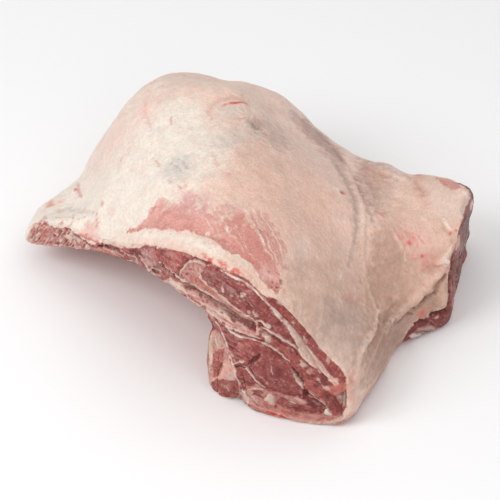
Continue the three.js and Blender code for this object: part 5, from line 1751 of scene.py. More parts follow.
@dataclass
class CutSlab:
    """A dense closed slab that carries what the cut between two ribs shows, in a pocket of the meat."""

    ribs: RibEnd
    cell_mm: float = 0.45
    inset_mm: float = 1.1
    thick_mm: float = 8.0
    roll_mm: float = 1.6
    start_mm: float = -116.3
    stop_mm: float = 131.6
    spine_mm: float = 47.6
    split_share: float = 0.6
    upper_rows: int = 86
    lower_rows: int = 112
    most_lift_mm: float = 1.6
    bone_seat_mm: float = 2.2
    swell_mm: float = 0.3
    crinkle_mm: float = 0.12

    @staticmethod
    def strip(low: Array, high: Array, rows: int) -> Array:
        """A grid of rows between two lines of the same length."""
        share = np.linspace(0.0, 1.0, rows)[:, None, None]
        return low[None] * (1 - share) + high[None] * share

    def grids(self) -> list[Array]:
        """Lays out the slab's front.

        Returns:
            A grid for the strip over the whole cut, and one for the lower block at the backbone.
        """
        along = np.arange(self.start_mm, self.stop_mm, self.cell_mm)
        top = self.ribs.at(along, self.ribs.top) - self.inset_mm
        bottom = self.ribs.at(along, self.ribs.bottom) + 0.4
        first = int(np.searchsorted(along, self.spine_mm + 1.0))
        steady = int(np.searchsorted(along, self.spine_mm - 6.0))
        arch = bottom.copy()
        arch[steady:] = bottom[steady]
        share = ramp(along, along[steady], along[first] + 14.0)
        low = mix(arch, mix(bottom, top, self.split_share), share)
        upper = self.strip(np.column_stack([along, low]), np.column_stack([along, top]), self.upper_rows)
        base_along = np.linspace(self.spine_mm, along[-1], len(along) - first)
        base = np.column_stack([base_along, bottom[first:]])
        return [upper, self.strip(base, upper[0, first:], self.lower_rows)]

    @staticmethod
    def joined(grids: list[Array]) -> tuple[Array, Array]:
        """Joins some grids, with shared points merged.

        Args:
            grids: rows and columns of two numbers each.

        Returns:
            Flat points and four-cornered faces.
        """
        points, faces, start = [], [], 0
        for grid in grids:
            rows, columns = grid.shape[:2]
            index = start + np.arange(rows * columns).reshape(rows, columns)
            quads = np.stack([index[:-1, :-1], index[:-1, 1:], index[1:, 1:], index[1:, :-1]], -1)
            points.append(grid.reshape(-1, 2))
            faces.append(quads.reshape(-1, 4))
            start += rows * columns
        flat, quads = np.vstack(points), np.vstack(faces)
        _, first, back = np.unique(np.round(flat, 3), axis=0, return_index=True, return_inverse=True)
        return flat[first], back.reshape(-1)[quads]

    def closed(self) -> tuple[Form, int]:
        """The slab: its front, walls going back into the meat, and a back.

        Returns:
            The form, whose first points are the front's, and how many those are.
        """
        flat, quads = self.joined(self.grids())
        front = np.column_stack([flat[:, 0], self.ribs.at(flat[:, 0], self.ribs.front), flat[:, 1]])
        ring = np.roll(quads, -1, axis=1)
        sides = np.column_stack([quads.ravel(), ring.ravel()])
        _, index, count = np.unique(np.sort(sides, axis=1), axis=0, return_index=True, return_counts=True)
        rim = sides[index[count == 1]]
        loop = np.unique(rim)
        spread = np.full(len(front), -1)
        spread[loop] = np.arange(len(loop)) + len(front)
        back = front[loop].copy()
        back[:, 1] += self.thick_mm
        walls = np.column_stack([rim[:, 1], rim[:, 0], spread[rim[:, 0]], spread[rim[:, 1]]])
        solid = bmesh.new()
        verts = [solid.verts.new(p) for p in np.vstack([front, back]).tolist()]
        for face in np.vstack([quads, walls]).tolist():
            solid.faces.new([verts[i] for i in face])
        open_edges = [edge for edge in solid.edges if edge.is_boundary]
        bmesh.ops.contextual_create(solid, geom=open_edges)
        bmesh.ops.recalc_face_normals(solid, faces=solid.faces)
        return Form(*triangles(solid)), len(front)

    def rolled(self, form: Form, count: int) -> Array:
        """Rounds the slab's edge.

        Args:
            form: the slab.
            count: how many of its points are the front's.

        Returns:
            How far each front point sinks, in millimetres.
        """
        rim = KDTree(len(form.points) - count)
        for index, point in enumerate(form.points[count:]):
            rim.insert((point[0], 0.0, point[2]), index)
        rim.balance()
        away = np.array([rim.find((p[0], 0.0, p[2]))[2] for p in form.points[:count]])
        share = np.clip(1.0 - away / self.roll_mm, 0.0, 1.0)
        return self.roll_mm * (1.0 - np.sqrt(1.0 - share**2 * 0.98))

    def build(self, bones: "list[Bone]") -> bpy.types.Object:
        """Builds the slab.

        Args:
            bones: the bones whose ends show in it.

        Returns:
            The finished piece.
        """
        form, count = self.closed()
        form.nudge(NOTCHES)
        canvas = Canvas(form.points, np.tile(Tint.RIM_FAT.linear, (len(form.points), 1)))
        lay_photo_side(canvas, form.points, form.normals(), self.ribs)
        coarse, fine = Grain(8).layered(form.points, 3.4, 4), Grain(9).layered(form.points, 1.3, 2)
        canvas.lift += self.swell_mm * coarse + self.crinkle_mm * fine
        # Painted shade and highlight: dark lean where the relief sinks below its neighbours, pale pink where
        # it stands above them.
        sunk = form.evened(canvas.lift, 14) - canvas.lift
        canvas.wash(Tint.DARK_LEAN, ramp(sunk, 0.08, 0.5) * 0.75, Layer.FLESH)
        canvas.wash(Tint.PALE_PINK, ramp(sunk, -0.15, -0.5) * 0.3, Layer.FLESH)
        push = np.minimum(canvas.lift, self.most_lift_mm)
        for bone in bones:
            push -= self.bone_seat_mm * bone.near(form.points, 0.8)
        push[:count] -= self.rolled(form, count)
        push[count:] = 0.0
        form.points[:, 1] -= push
        form.boxed()
        piece = form.make("rib_end_cut", "raw_meat", CUT_FINISH, canvas)
        seen = VIEW.pixels(form.points)
        lean = canvas.layers[Layer.FLESH][:, 3] * ramp(canvas.opening, 2.0, 4.0)
        lean *= ramp(Grain(19).layered(form.points, 9.0), 0.0, 0.6) * ramp(seen[:, 0], 120, 190)
        frayed = ramp(canvas.opening, 0.0, 0.6) * ramp(canvas.opening, 4.0, 2.0)
        frayed = np.maximum(frayed, ramp(seen[:, 0], 180, 150) * ramp(canvas.opening, 0.0, 0.6))
        for label, values in (("flecked", lean), ("frayed", frayed)):
            values[count:] = 0.0
            hold(piece.data, label, values)
        return piece


class Shape(Enum):
    """What is strewn over a surface."""

    LUMP = "an uneven squashed ball"
    THREAD = "a bent thread that lies along the surface"


@dataclass(frozen=True)
class Strewn:
    """Many small things strewn over a finished piece by a geometry node tree.

    density is how many lie on a square metre where the attribute is 1. least_mm and most_mm are half the
    width of a lump, or ten times the half width of a thread. turn is the thread's mean direction.
    """

    name: str
    shape: Shape
    attribute: str
    tint: Tint
    density: float
    least_mm: float
    most_mm: float
    turn: float = 0.0
    spread: float = 3.14
    seed: int = 4

    def thing(self, n: "Nodes") -> bpy.types.NodeSocket:
        """Adds the nodes that make one lump or thread, about 2 or 20 across.

        Args:
            n: the tree's helper.

        Returns:
            The socket that gives its geometry.
        """
        scale = 1.9 if self.shape is Shape.LUMP else 0.11
        noise = n.add("ShaderNodeTexNoise", {"Scale": scale}).outputs["Color"]
        bend = n.add("ShaderNodeVectorMath", {0: noise, 1: (0.5, 0.5, 0.5)}, operation="SUBTRACT").outputs[0]
        if self.shape is Shape.LUMP:
            ball = n.add("GeometryNodeMeshIcoSphere", {"Radius": 1.0, "Subdivisions": 2}).outputs["Mesh"]
            bend = n.stretched(bend, (3.4, 3.4, 1.4))
            return n.add("GeometryNodeSetPosition", {"Geometry": ball, "Offset": bend}).outputs["Geometry"]
        path = n.add("GeometryNodeCurvePrimitiveLine", {"Start": (-9.0, 0.0, 0.0), "End": (9.0, 0.0, 0.0)})
        path = n.add("GeometryNodeResampleCurve", {"Curve": path.outputs[0], "Count": 8}).outputs[0]
        bend = n.stretched(bend, (6.0, 16.0, 4.0))
        path = n.add("GeometryNodeSetPosition", {"Geometry": path, "Offset": bend}).outputs["Geometry"]
        ring = n.add("GeometryNodeCurvePrimitiveCircle", {"Resolution": 5, "Radius": 0.5}).outputs["Curve"]
        sweep = {"Curve": path, "Profile Curve": ring, "Fill Caps": True}
        return n.add("GeometryNodeCurveToMesh", sweep).outputs[0]

    def tree(self) -> bpy.types.NodeTree:
        """Builds the node tree: points over a surface, a thing on each, turned and sized by chance.

        Returns:
            The tree, with its inputs on its interface.
        """
        tree = bpy.data.node_groups.new(self.name, "GeometryNodeTree")
        for label, kind in (
            ("Geometry", "Geometry"), ("Surface", "Object"), ("Density", "Float"),
            ("Least", "Float"), ("Most", "Float"), ("Turn", "Float"), ("Spread", "Float"),
            ("Seed", "Int"), ("Material", "Material"),
        ):
            tree.interface.new_socket(label, in_out="INPUT", socket_type="NodeSocket" + kind)
        tree.interface.new_socket("Geometry", in_out="OUTPUT", socket_type="NodeSocketGeometry")
        n = Nodes(tree)
        entry = n.add("NodeGroupInput").outputs
        surface = n.add("GeometryNodeObjectInfo", {"Object": entry["Surface"]}, transform_space="RELATIVE")
        share = n.add("GeometryNodeInputNamedAttribute", {"Name": self.attribute}, data_type="FLOAT")
        spread = n.add(
            "GeometryNodeDistributePointsOnFaces",
            {"Mesh": surface.outputs["Geometry"],
             "Density": n.times(share.outputs["Attribute"], entry["Density"]), "Seed": entry["Seed"]},
        )
        chance = {"Seed": entry["Seed"]}
        size = n.add("FunctionNodeRandomValue", {2: entry["Least"], 3: entry["Most"], **chance}).outputs[1]
        long = n.add("FunctionNodeRandomValue", {2: 0.7, 3: 2.0, "Seed": 7}).outputs[1]
        flat = 0.45 if self.shape is Shape.LUMP else 1.0
        sides = {0: n.times(size, long), 1: size, 2: n.times(size, flat)}
        scale = n.add("ShaderNodeCombineXYZ", sides).outputs[0]
        away = n.times(entry["Spread"], -1.0)
        spin = n.add("FunctionNodeRandomValue", {2: away, 3: entry["Spread"], "Seed": 9}).outputs[1]
        spin = n.maths("ADD", spin, entry["Turn"])
        turn = n.add("FunctionNodeAxisAngleToRotation", {"Axis": (0.0, 0.0, 1.0), "Angle": spin}).outputs[0]
        facing = n.add("FunctionNodeAlignRotationToVector", {"Vector": spread.outputs["Normal"]}, axis="Z")
        facing = n.add("FunctionNodeRotateRotation", {0: facing.outputs[0], 1: turn}, rotation_space="LOCAL")
        placed = n.add(
            "GeometryNodeInstanceOnPoints",
            {"Points": spread.outputs["Points"], "Instance": self.thing(n), "Rotation": facing.outputs[0],
             "Scale": scale},
        )
        solid = n.add("GeometryNodeRealizeInstances", {0: placed.outputs["Instances"]})
        smooth = n.add("GeometryNodeSetShadeSmooth", {0: solid.outputs[0]})
        dressed = n.add("GeometryNodeSetMaterial", {0: smooth.outputs[0], "Material": entry["Material"]})
        n.fill(n.add("NodeGroupOutput"), {0: dressed.outputs[0]})
        return tree

    def build(self, surface: bpy.types.Object) -> bpy.types.Object:
        """Strews the things over a finished piece.

        Args:
            surface: the piece, with the attribute that says where they lie.

        Returns:
            All of them as one piece.
        """
        blank = placed("strewer", bpy.data.meshes.new("strewer"))
        live = blank.modifiers.new("strewn", "NODES")
        live.node_group = self.tree()
        values = {
            "Surface": surface, "Density": self.density, "Seed": self.seed,
            "Least": self.least_mm * MM, "Most": self.most_mm * MM,
            "Turn": self.turn, "Spread": self.spread, "Material": FLECK_FINISH.material(),
        }
        for item in live.node_group.interface.items_tree:
            if item.in_out == "INPUT" and item.name in values:
                live[item.identifier] = values[item.name]
        mesh = converted(blank)
        bpy.data.objects.remove(blank)
        points = np.clip(points_of(mesh), *(np.array(side) for side in cad_box))
        mesh.vertices.foreach_set("co", points.astype(np.float32).ravel())
        mesh.update()
        tint = np.tile(np.append(self.tint.linear, 0.0), (len(points), 1))
        hold(mesh, "cover", tint)
        hold(mesh, "flesh", tint)
        return finished(self.name, mesh)


STREWN = (
    Strewn("fat_flecks", Shape.LUMP, "flecked", Tint.FASCIA, 30000.0, 0.14, 0.42),
    Strewn("cut_threads", Shape.THREAD, "frayed", Tint.PALE_PINK, 60000.0, 0.1, 0.2, turn=-0.5, spread=0.9,
           seed=6),
)


# ---- the meat and the bones --------------------------------------------------------------------------


@dataclass
class Bone:
    """One bone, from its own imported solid."""

    node: str
    voxel_mm: float
    ribs: RibEnd
    spine: bool = False
    bone_rounds: int = 4
    crinkle_mm: float = 0.15
    most_lift_mm: float = 0.8

    def __post_init__(self) -> None:
        """Makes the bone's form."""
        self.form = Form.remeshed((self.node,), self.voxel_mm)
        self.form.relax(self.bone_rounds)
        self.form.nudge(NUDGES)
        self.form.nudge(NOTCHES)
        self.solid = self.form.tree()
        self.low, self.high = self.form.points.min(0), self.form.points.max(0)

    def near(self, points: Array, reach: float) -> Array:
        """Finds the points that are in the bone or close to it.

        Args:
            points: rows of three numbers.
            reach: how close they are, in millimetres.

        Returns:
            1 for each such point, and 0 for the others.
        """
        share = np.zeros(len(points))
        box = np.flatnonzero(((points > self.low - reach) & (points < self.high + reach)).all(1))
        for index in box:
            place, normal, _, away = self.solid.find_nearest(Vector(points[index]))
            behind = (Vector(points[index]) - place).dot(normal) < 0.0
            share[index] = 1.0 if behind or away < reach else 0.0
        return share

    def middle(self, points: Array) -> tuple[Array, Array]:
        """Measures where points lie on the backbone.

        Args:
            points: rows of three numbers.

        Returns:
            How far along its middle line they lie, and how far across it.
        """
        stations = np.arange(-108.0, 72.0, 4.0)
        low = self.form.points[self.form.points[:, 2] < 2.5]
        line_x = np.array([low[np.abs(low[:, 1] - y) < 4.0, 0].mean() for y in stations])
        ahead = np.concatenate([[0.0], np.cumsum(np.hypot(np.diff(line_x), 4.0))])
        across = points[:, 0] - np.interp(points[:, 1], stations, line_x)
        return np.interp(points[:, 1], stations, ahead), across

    def lay_spine(self, canvas: Canvas, normals: Array) -> None:
        """Lays sawn vertebrae, the discs between them and the canal of the cord on the sawn side.

        Args:
            canvas: what is laid so far.
            normals: the bone's outward directions.
        """
        points = self.form.points
        ahead, across = self.middle(points)
        noise = canvas.edge_noise
        sawn = ramp(-normals[:, 2], 0.2, 0.6)
        gap = np.abs((ahead + 0.8 * noise) % 25.0 - 12.5)
        body = sawn * ramp(across + noise, 2.5, 1.5) * ramp(gap, 11.4, 10.6)
        arch = sawn * ramp(across + noise, 6.0, 7.0) * ramp(gap, 9.5, 8.5)
        canvas.wash(Tint.CARTILAGE, sawn)
        canal = sawn * ramp(across + noise, 1.5, 2.5) * ramp(across + noise, 7.0, 6.0)
        canvas.wash(Tint.COOL_GREY, canal * 0.8)
        canvas.wash(Tint.SPONGE, np.maximum(body, arch))
        canvas.enrich(0.6, np.maximum(body, arch))
        canvas.spongy = np.maximum(canvas.spongy, np.maximum(body, arch))
        canvas.lift -= 0.7 * sawn * ramp(np.abs(across - 4.2), 2.4, 1.0)
        canvas.lift += 0.3 * sawn * ramp(gap, 11.0, 12.0)

    def build(self) -> bpy.types.Object:
        """Builds the bone.

        Returns:
            The finished piece.
        """
        normals = self.form.normals()
        canvas = Canvas(self.form.points, np.tile(Tint.PINK_FAT.linear, (len(self.form.points), 1)))
        canvas.wash(Tint.FASCIA, ramp(canvas.break_noise, -0.2, 0.5))
        if self.spine:
            self.lay_spine(canvas, normals)
        cut = NECK.share(self.form.points, normals)
        if cut.any():
            face = NECK.seen(self.form.points)
            low, high = face[cut > 0.5].min(0), face[cut > 0.5].max(0)
            rim = np.minimum(face - low, high - face).min(1) + 0.6 * canvas.edge_noise
            canvas.wash(Tint.CARTILAGE, cut)
            canvas.wash(Tint.SPONGE, cut * ramp(rim, 1.4, 2.4))
            canvas.spongy = np.maximum(canvas.spongy, cut * ramp(rim, 1.4, 2.4))
        lay_photo_side(canvas, self.form.points, normals, self.ribs, fat=False)
        canvas.lift += self.crinkle_mm * Grain(21).layered(self.form.points, 3.0, 3)
        self.form.points += normals * np.clip(canvas.lift, -self.most_lift_mm, self.most_lift_mm)[:, None]
        self.form.boxed()
        piece = self.form.make(self.node + "_bone", self.node, BONE_FINISH, canvas)
        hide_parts(self.node)
        return piece


@dataclass
class MeatBody:
    """The meat with its fat cover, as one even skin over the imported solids."""

    voxel_mm: float = 2.7
    soft_rounds: int = 3
    round_rounds: int = 12
    fine_px: float = 4.0
    rim_mm: float = 5.0
    hidden_mm: float = 3.0
    pocket_mm: float = 6.0
    lip_mm: float = 1.8
    bone_seat_mm: float = 1.2
    swell_mm: float = 0.35
    crinkle_mm: float = 0.15

    def __post_init__(self) -> None:
        """Makes the rounded form and reads the outline of its cut."""
        self.form = Form.remeshed(("meat", "backbone", "blade_bone"), self.voxel_mm)
        self.form.relax(self.soft_rounds)
        ribs = RibEnd.found(self.form.tree())
        points = self.form.points
        near_cut = ramp(ribs.depth(points), 16.0, 4.0)
        near_neck = ramp(np.abs(NECK.depth(points)), 12.0, 3.0)
        near_table = ramp(points[:, 2], 8.0, 2.0)
        self.form.relax(self.round_rounds, np.clip(near_cut + near_neck + near_table, 0.0, 0.9))
        self.form.nudge(NUDGES)
        self.ribs = RibEnd.found(self.form.tree())
        self.form = self.form.refined(self.watched())
        self.form.relax(1)
        self.form = self.form.refined(self.marked())
        self.form.nudge(NOTCHES)

    def hidden(self) -> Array:
        """Which points the slab of the cut hides."""
        depth, inside = self.ribs.depth(self.form.points), self.ribs.inside(self.form.points)
        return (depth < self.hidden_mm) & (inside > self.lip_mm + self.hidden_mm)

    def watched(self) -> Array:
        """Which faces are seen closely: those that the photo shows, and the neck cut."""
        points, normals = self.form.points, self.form.normals()
        watched = (VIEW.facing(points, normals) > 0.02) | (NECK.share(points, normals) > 0.5)
        return (watched & ~self.hidden())[self.form.faces].sum(1) > 2

    def marked(self) -> Array:
        """Finds the faces that carry fine marks: those on the bare muscle and at the edges of the cuts.

        Returns:
            Whether each face does.
        """
        points, seen = self.form.points, VIEW.pixels(self.form.points)
        close = (np.abs(self.ribs.depth(points)) < self.rim_mm) & ~self.hidden()
        for outline in (PINK_OUTLINE, NECK_OUTLINE):
            close |= outline.distance(seen)[0] < self.fine_px
        shown = VIEW.facing(points, self.form.normals()) > 0.02
        return (close & shown)[self.form.faces].sum(1) > 2

    def cover_tints(self, points: Array, normals: Array) -> Array:
        """Gives fat its tint by place: cream on the dome, tan on the back that is partly painted shade, rosy
        behind, with soft blushes.

        Args:
            points: the meat's points.
            normals: its outward directions.

        Returns:
            A tint for each point.
        """
        x, y, _ = points.T
        tint = np.tile(Tint.BEIGE.linear, (len(points), 1))
        tint = mix(tint, Tint.CREAM.linear, ramp(x, 20.0, -60.0))
        tint = mix(tint, Tint.WARM_FAT.linear, 0.85 * ramp(y, -10.0, 50.0))
        # Tan on the back: partly the fat's colour, partly painted shade of the side turned from the light.
        tint = mix(tint, Tint.TAN.linear, 0.8 * ramp(x, 60.0, 125.0) * ramp(y, -80.0, 0.0))
        tint = mix(tint, Tint.ROSY_BEIGE.linear, 0.55 * ramp(VIEW.facing(points, normals), 0.1, -0.15))
        tint = mix(tint, Tint.BLUSH.linear, 0.5 * ramp(Grain(5).layered(points, 22.0), 0.1, 0.6))
        return mix(tint, Tint.PINK_FAT.linear, 0.3 * ramp(Grain(6).layered(points, 9.0), 0.45, 0.8))

    def lay_under_side(self, canvas: Canvas, normals: Array) -> None:
        """Lays ribs, the muscle between them and the lining on the side that the photo hides.

        Args:
            canvas: what is laid so far.
            normals: the meat's outward directions.
        """
        points = canvas.points
        down = ramp(-normals[:, 2], 0.1, 0.4)
        wall = ramp(-normals[:, 0], 0.25, 0.55) * ramp(points[:, 0], 2.0, 12.0)
        wall = wall * ramp(points[:, 2], 72.0, 60.0)
        down = np.maximum(down, wall * ramp(points[:, 2], 2.0, 6.0))
        rib = np.cos(2 * np.pi * self.ribs.depth(points) / 30.0 + 0.5 * Grain(14).at(points, 40.0))
        hollow = down * ramp(points[:, 2], 1.0, 5.0)
        canvas.wash(Tint.LINING, hollow)
        canvas.wash(Tint.PINK_FAT, hollow * ramp(rib, 0.2, 0.8) * 0.8)
        canvas.wash(Tint.BRICK, hollow * ramp(rib, -0.1, -0.8) * 0.85)
        canvas.enrich(0.8, hollow * ramp(rib, 0.1, -0.6))
        canvas.lift += hollow * ramp(rib, 0.0, 1.0) * 0.5
        flat = down * ramp(points[:, 2], 4.0, 1.0)
        patches = Grain(15).layered(points, 14.0)
        lean = flat * ramp(patches, -0.1, 0.2)
        canvas.wash(Tint.RED_FAT, flat)
        canvas.wash(Tint.LEAN, lean)
        canvas.wash(Tint.FASCIA, flat * ramp(patches, -0.35, -0.6))
        canvas.enrich(1.0, lean)

    def build(self, bones: list[Bone]) -> bpy.types.Object:
        """Builds the meat.

        Args:
            bones: the bones seated in it.

        Returns:
            The finished piece.
        """
        form, points = self.form, self.form.points.copy()
        normals = form.normals()
        canvas = Canvas(points, self.cover_tints(points, normals))
        self.lay_under_side(canvas, normals)
        lay_photo_side(canvas, points, normals, self.ribs)
        above = ramp(points[:, 2], 1.0, 6.0)
        canvas.lift += self.swell_mm * Grain(7).layered(points, 12.0) * above
        canvas.lift += self.crinkle_mm * Grain(17).layered(points, 4.5) * above
        pocket = ramp(self.ribs.depth(points), 3.0, 1.5)
        pocket *= ramp(self.ribs.inside(points), self.lip_mm, self.lip_mm + 1.2)
        form.points += normals * (canvas.lift * (1 - pocket))[:, None]
        form.points[:, 1] += pocket * self.pocket_mm
        for bone in bones:
            seat = bone.near(points, 0.9) * (1 - pocket)
            form.points -= normals * (seat * self.bone_seat_mm)[:, None]
        form.boxed()
        piece = form.make("meat_and_fat", "raw_meat", MEAT_FINISH, canvas)
        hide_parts("meat")
        return piece


def slanted(seen: Array, turn_deg: float, long_px: float, wide_px: float) -> Array:
    """Places for noise whose blotches are drawn out along one direction of the photo.

    Args:
        seen: rows of two pixel coordinates.
        turn_deg: the direction, turned from rightwards to downwards.
        long_px: length of a blotch.
        wide_px: width of a blotch.

    Returns:
        Rows of three numbers, in which a blotch is about 1 across.
    """
    turn = math.radians(turn_deg)
    along = seen[:, 0] * math.cos(turn) + seen[:, 1] * math.sin(turn)
    across = -seen[:, 0] * math.sin(turn) + seen[:, 1] * math.cos(turn)
    return np.column_stack([along / long_px, across / wide_px, np.zeros(len(seen))])


# Columns of the photo over which the fibres start, give way to strands, and those end.
FIBRES_START, FIBRES_END, STRANDS_END = (22.0, 30.0), (88.0, 104.0), (236.0, 262.0)


def fibres(canvas: Canvas, seen: Array, limit: Array) -> None:
    """Lays short slanting ridges of fat and lean at the breast end of the cut.

    Args:
        canvas: what is laid so far.
        seen: rows of two pixel coordinates.
        limit: from 0 to 1 for each point, how far they show there.
    """
    streak = Grain(31).layered(slanted(seen, -52.0, 3.6, 1.35), 1.0, 2)
    zone = limit * ramp(seen[:, 0], *reversed(FIBRES_END)) * ramp(seen[:, 0], *FIBRES_START)
    zone = zone * ramp(Grain(32).at(canvas.points, 9.0), -0.9, -0.1)
    canvas.wash(Tint.PALE_PINK, zone * 0.4, Layer.FLESH)
    canvas.wash(Tint.FASCIA, zone * ramp(streak, 0.08, 0.4) * 0.9, Layer.FLESH)
    canvas.wash(Tint.LEAN, zone * ramp(streak, -0.15, -0.45) * 0.7, Layer.FLESH)
    canvas.wash(Tint.DARK_LEAN, zone * ramp(streak, -0.45, -0.8) * 0.6, Layer.FLESH)
    canvas.lift += zone * streak * 0.5


def strands(canvas: Canvas, seen: Array, limit: Array) -> None:
    """Lays long thin strands that run with the lower edge of the cut.

    Args:
        canvas: what is laid so far.
        seen: rows of two pixel coordinates.
        limit: from 0 to 1 for each point, how far they show there.
    """
    streak = Grain(41).layered(slanted(seen, 30.0, 14.0, 1.5), 1.0, 2)
    zone = limit * ramp(seen[:, 0], *FIBRES_END) * ramp(seen[:, 0], *reversed(STRANDS_END))
    fat = 1.0 - canvas.layers[Layer.FLESH][:, 3]
    canvas.wash(Tint.FASCIA, zone * (0.2 + 0.8 * fat) * ramp(streak, 0.0, 0.4) * 0.75, Layer.FLESH)
    canvas.wash(Tint.BRIGHT_LEAN, zone * (0.3 + 0.7 * fat) * ramp(streak, -0.3, -0.6) * 0.6, Layer.FLESH)
    canvas.lift += zone * streak * 0.3


def marbling(canvas: Canvas, limit: Array) -> None:
    """Lays fine light and dark specks in lean meat, and red specks in the fat beside it.

    Args:
        canvas: what is laid so far.
        limit: from 0 to 1 for each point, how far they show there.
    """
    flesh = canvas.layers[Layer.FLESH]
    lean, fat = limit * flesh[:, 3], limit * (1.0 - flesh[:, 3])
    fine = Grain(33).layered(canvas.points, 1.3, 2)
    slow = Grain(34).layered(canvas.points, 5.0, 3)
    canvas.wash(Tint.PALE_PINK, lean * ramp(fine + 0.4 * slow, 0.55, 1.2) * 0.35, Layer.FLESH)
    canvas.wash(Tint.DARK_LEAN, lean * ramp(-slow - 0.8 * fine, 0.1, 0.9) * 0.65, Layer.FLESH)
    canvas.wash(Tint.RED_FAT, fat * ramp(fine - 0.5 * slow, 0.4, 1.1) * 0.35, Layer.FLESH)
    canvas.lift += (lean + 0.6 * fat) * fine * 0.1


MUSCLE_TURN_DEG = 52.0


def lay_pink_muscle(canvas: Canvas, seen: Array, shown: Array) -> None:
    """Lays the bared muscle above the rim: crisp at the left and below, feathered and frosted elsewhere.

    Args:
        canvas: what is laid so far.
        seen: rows of two pixel coordinates.
        shown: from 0 to 1 for each point, how far the photo shows it.
    """
    rim = PINK_RIM.distance(seen)[0]
    feather = ramp(rim, 4.0, 11.0) * ramp(seen[:, 0], 160.0, 186.0)
    canvas.cut_open(PINK_OUTLINE, seen, shown * ramp(feather, 0.8, 0.3))
    canvas.lay(PINK_MUSCLE, seen, shown, Layer.FLESH)
    streak = Grain(24).layered(slanted(seen, MUSCLE_TURN_DEG, 9.0, 2.0), 1.0, 3)
    share = ramp(PINK_OUTLINE.distance(seen)[0] + 4.5 * streak, 5.0, -8.0)
    frost = np.minimum(sum(ramp(mark.distance(seen)[0], 6.0, -8.0) for mark in FROSTED), 1.0)
    fleck = Grain(23).layered(slanted(seen, MUSCLE_TURN_DEG, 5.0, 3.0), 1.0, 3)
    share *= 1.0 - 0.85 * frost * ramp(fleck, 0.1, 0.6)
    share *= shown * ramp(feather, 0.0, 0.3) * 0.92
    cover, flesh = canvas.layers[Layer.COVER], canvas.layers[Layer.FLESH]
    cover[:] = mix(cover, flesh, share)
    canvas.wash(Tint.WHITE_FASCIA, frost * shown * ramp(fleck, 0.75, 1.05) * 0.6)
    canvas.lay(PINK_STREAKS, seen, shown)


def warped(seen: Array, points: Array, coarse: float, fine: float) -> Array:
    """Pixel coordinates bent by noise, so that what is laid by them runs unevenly.

    Args:
        seen: rows of two pixel coordinates.
        points: the same points in millimetres.
        coarse: how far slow noise moves them, in pixels.
        fine: how far quick noise moves them.

    Returns:
        The bent coordinates.
    """
    moves = [coarse * Grain(50 + k).at(points, 5.5) + fine * Grain(60 + k).at(points, 2.0) for k in (0, 1)]
    return seen + np.column_stack(moves)


def lay_photo_side(canvas: Canvas, points: Array, normals: Array, ribs: RibEnd, fat: bool = True) -> None:
    """Lays everything that the photo shows on a surface.

    Args:
        canvas: what is laid so far.
        points: the surface's points.
        normals: its outward directions.
        ribs: the outline of the rib-end cut.
        fat: whether the fat cover is laid too.
    """
    seen = VIEW.pixels(points)
    facing = VIEW.facing(points, normals)
    shown = ramp(facing, 0.02, 0.2)
    if fat:
        canvas.lay(FAT_MARKS, seen, shown)
        lay_pink_muscle(canvas, warped(seen, points, 1.2, 0.5), shown)
    at_cut = ramp(ribs.depth(points), 8.0, 5.0) * ramp(facing, -0.2, 0.05)
    canvas.cut_open(CUT_OUTLINE, seen, at_cut)
    body = at_cut * ramp(canvas.opening, -3.5, -1.5)
    bone = np.minimum(SPINE_OUTLINE.distance(seen)[0], BLADE_OUTLINE.distance(seen)[0])
    seen = warped(seen, points, 0.5, 0.2)
    canvas.wash(Tint.LEAN, body, Layer.FLESH)
    canvas.enrich(1.0, body, Layer.FLESH)
    canvas.lay(BREAST_END[:1], seen, body, Layer.FLESH)
    fibres(canvas, seen, body)
    canvas.lay(CUT_MARKS[1:], seen, body, Layer.FLESH)
    strands(canvas, seen, body * ramp(bone, 0.5, 3.0))
    marbling(canvas, body)
    at_neck = NECK.share(points, normals)
    if body.any() and at_neck.any():
        within = np.maximum(ramp(facing, 0.22, 0.1), ramp(NECK_OUTLINE.distance(seen)[0], 1.0, -1.0))
        canvas.opening = np.maximum(canvas.opening, (at_neck * within - 0.5) * 2 * canvas.FAR)
        face = NECK.seen(points)
        canvas.wash(Tint.LEAN, at_neck, Layer.FLESH)
        canvas.lay(NECK_FACE, face, at_neck, Layer.FLESH)
        near_neck = ramp(facing, -0.04, 0.02) * ramp(NECK.depth(points), 30.0, 20.0)
        canvas.cut_open(NECK_OUTLINE, seen, near_neck)
        canvas.lay(NECK_CUT_SEEN, seen, near_neck, Layer.FLESH)
        marbling(canvas, np.maximum(at_neck, near_neck * ramp(canvas.opening, -1.0, 0.5)))


# ---- the whole ---------------------------------------------------------------------------------------


AIMED_AT = Vector((0, 0, 0.04))


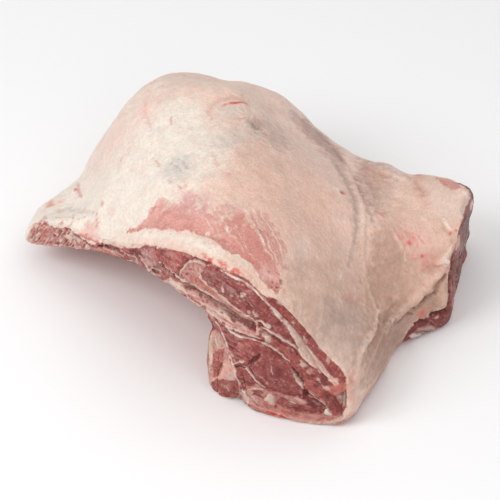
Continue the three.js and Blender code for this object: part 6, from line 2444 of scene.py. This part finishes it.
@dataclass(frozen=True)
class Lamp:
    """A soft square light. Its place and size are in metres."""

    name: str
    place: tuple[float, float, float]
    size: float
    watts: float

    def build(self) -> None:
        """Hangs the light, aimed at the roast."""
        data = bpy.data.lights.new(self.name, "AREA")
        data.size, data.energy = self.size, self.watts
        light = placed(self.name, data)
        light.location = self.place
        light.rotation_euler = (AIMED_AT - Vector(self.place)).to_track_quat("-Z", "Y").to_euler()


@dataclass(frozen=True)
class Studio:
    """The pale floor and the soft light of the photo."""

    floor_m: float = 6.0
    floor_tone: float = 0.92
    floor_roughness: float = 0.9
    floor_gloss: float = 0.1
    sky: float = 0.58
    lamps: tuple[Lamp, ...] = (
        Lamp("key", (-0.40, -1.00, 1.05), 0.8, 9.4),
        Lamp("fill", (1.05, -0.75, 0.85), 1.0, 2.8),
        Lamp("top", (0.2, 0.1, 1.5), 1.4, 4.6),
    )

    def build(self) -> None:
        """Builds the floor, the sky and the lamps."""
        scene = bpy.context.scene
        scene.view_settings.view_transform = "Standard"
        world = bpy.data.worlds.new("studio")
        world.use_nodes = True
        background = world.node_tree.nodes["Background"]
        background.inputs[0].default_value = (1.0, 1.0, 1.0, 1.0)
        background.inputs[1].default_value = self.sky
        scene.world = world
        mesh = bpy.data.meshes.new("floor")
        s = self.floor_m
        mesh.from_pydata([(-s, -s, 0), (s, -s, 0), (s, s, 0), (-s, s, 0)], [], [(0, 1, 2, 3)])
        made = bpy.data.materials.new("pale_floor")
        made.use_nodes = True
        shader = made.node_tree.nodes["Principled BSDF"]
        shader.inputs["Base Color"].default_value = (self.floor_tone,) * 3 + (1.0,)
        shader.inputs["Roughness"].default_value = self.floor_roughness
        shader.inputs["Specular IOR Level"].default_value = self.floor_gloss
        mesh.materials.append(made)
        floor = placed("floor", mesh)
        for lamp in self.lamps:
            lamp.build()


def main() -> None:
    """Builds the pieces in order and reports each."""
    logging.basicConfig(level=logging.INFO, format="%(name)s: %(message)s")
    VIEW.make_camera()
    Studio().build()
    body = MeatBody()
    bones = [Bone("blade_bone", 0.7, body.ribs), Bone("backbone", 0.8, body.ribs, spine=True)]
    body.build(bones)
    slab = CutSlab(body.ribs).build(bones)
    for things in STREWN:
        things.build(slab)
    for bone in bones:
        bone.build()


if __name__ == "__main__":
    main()
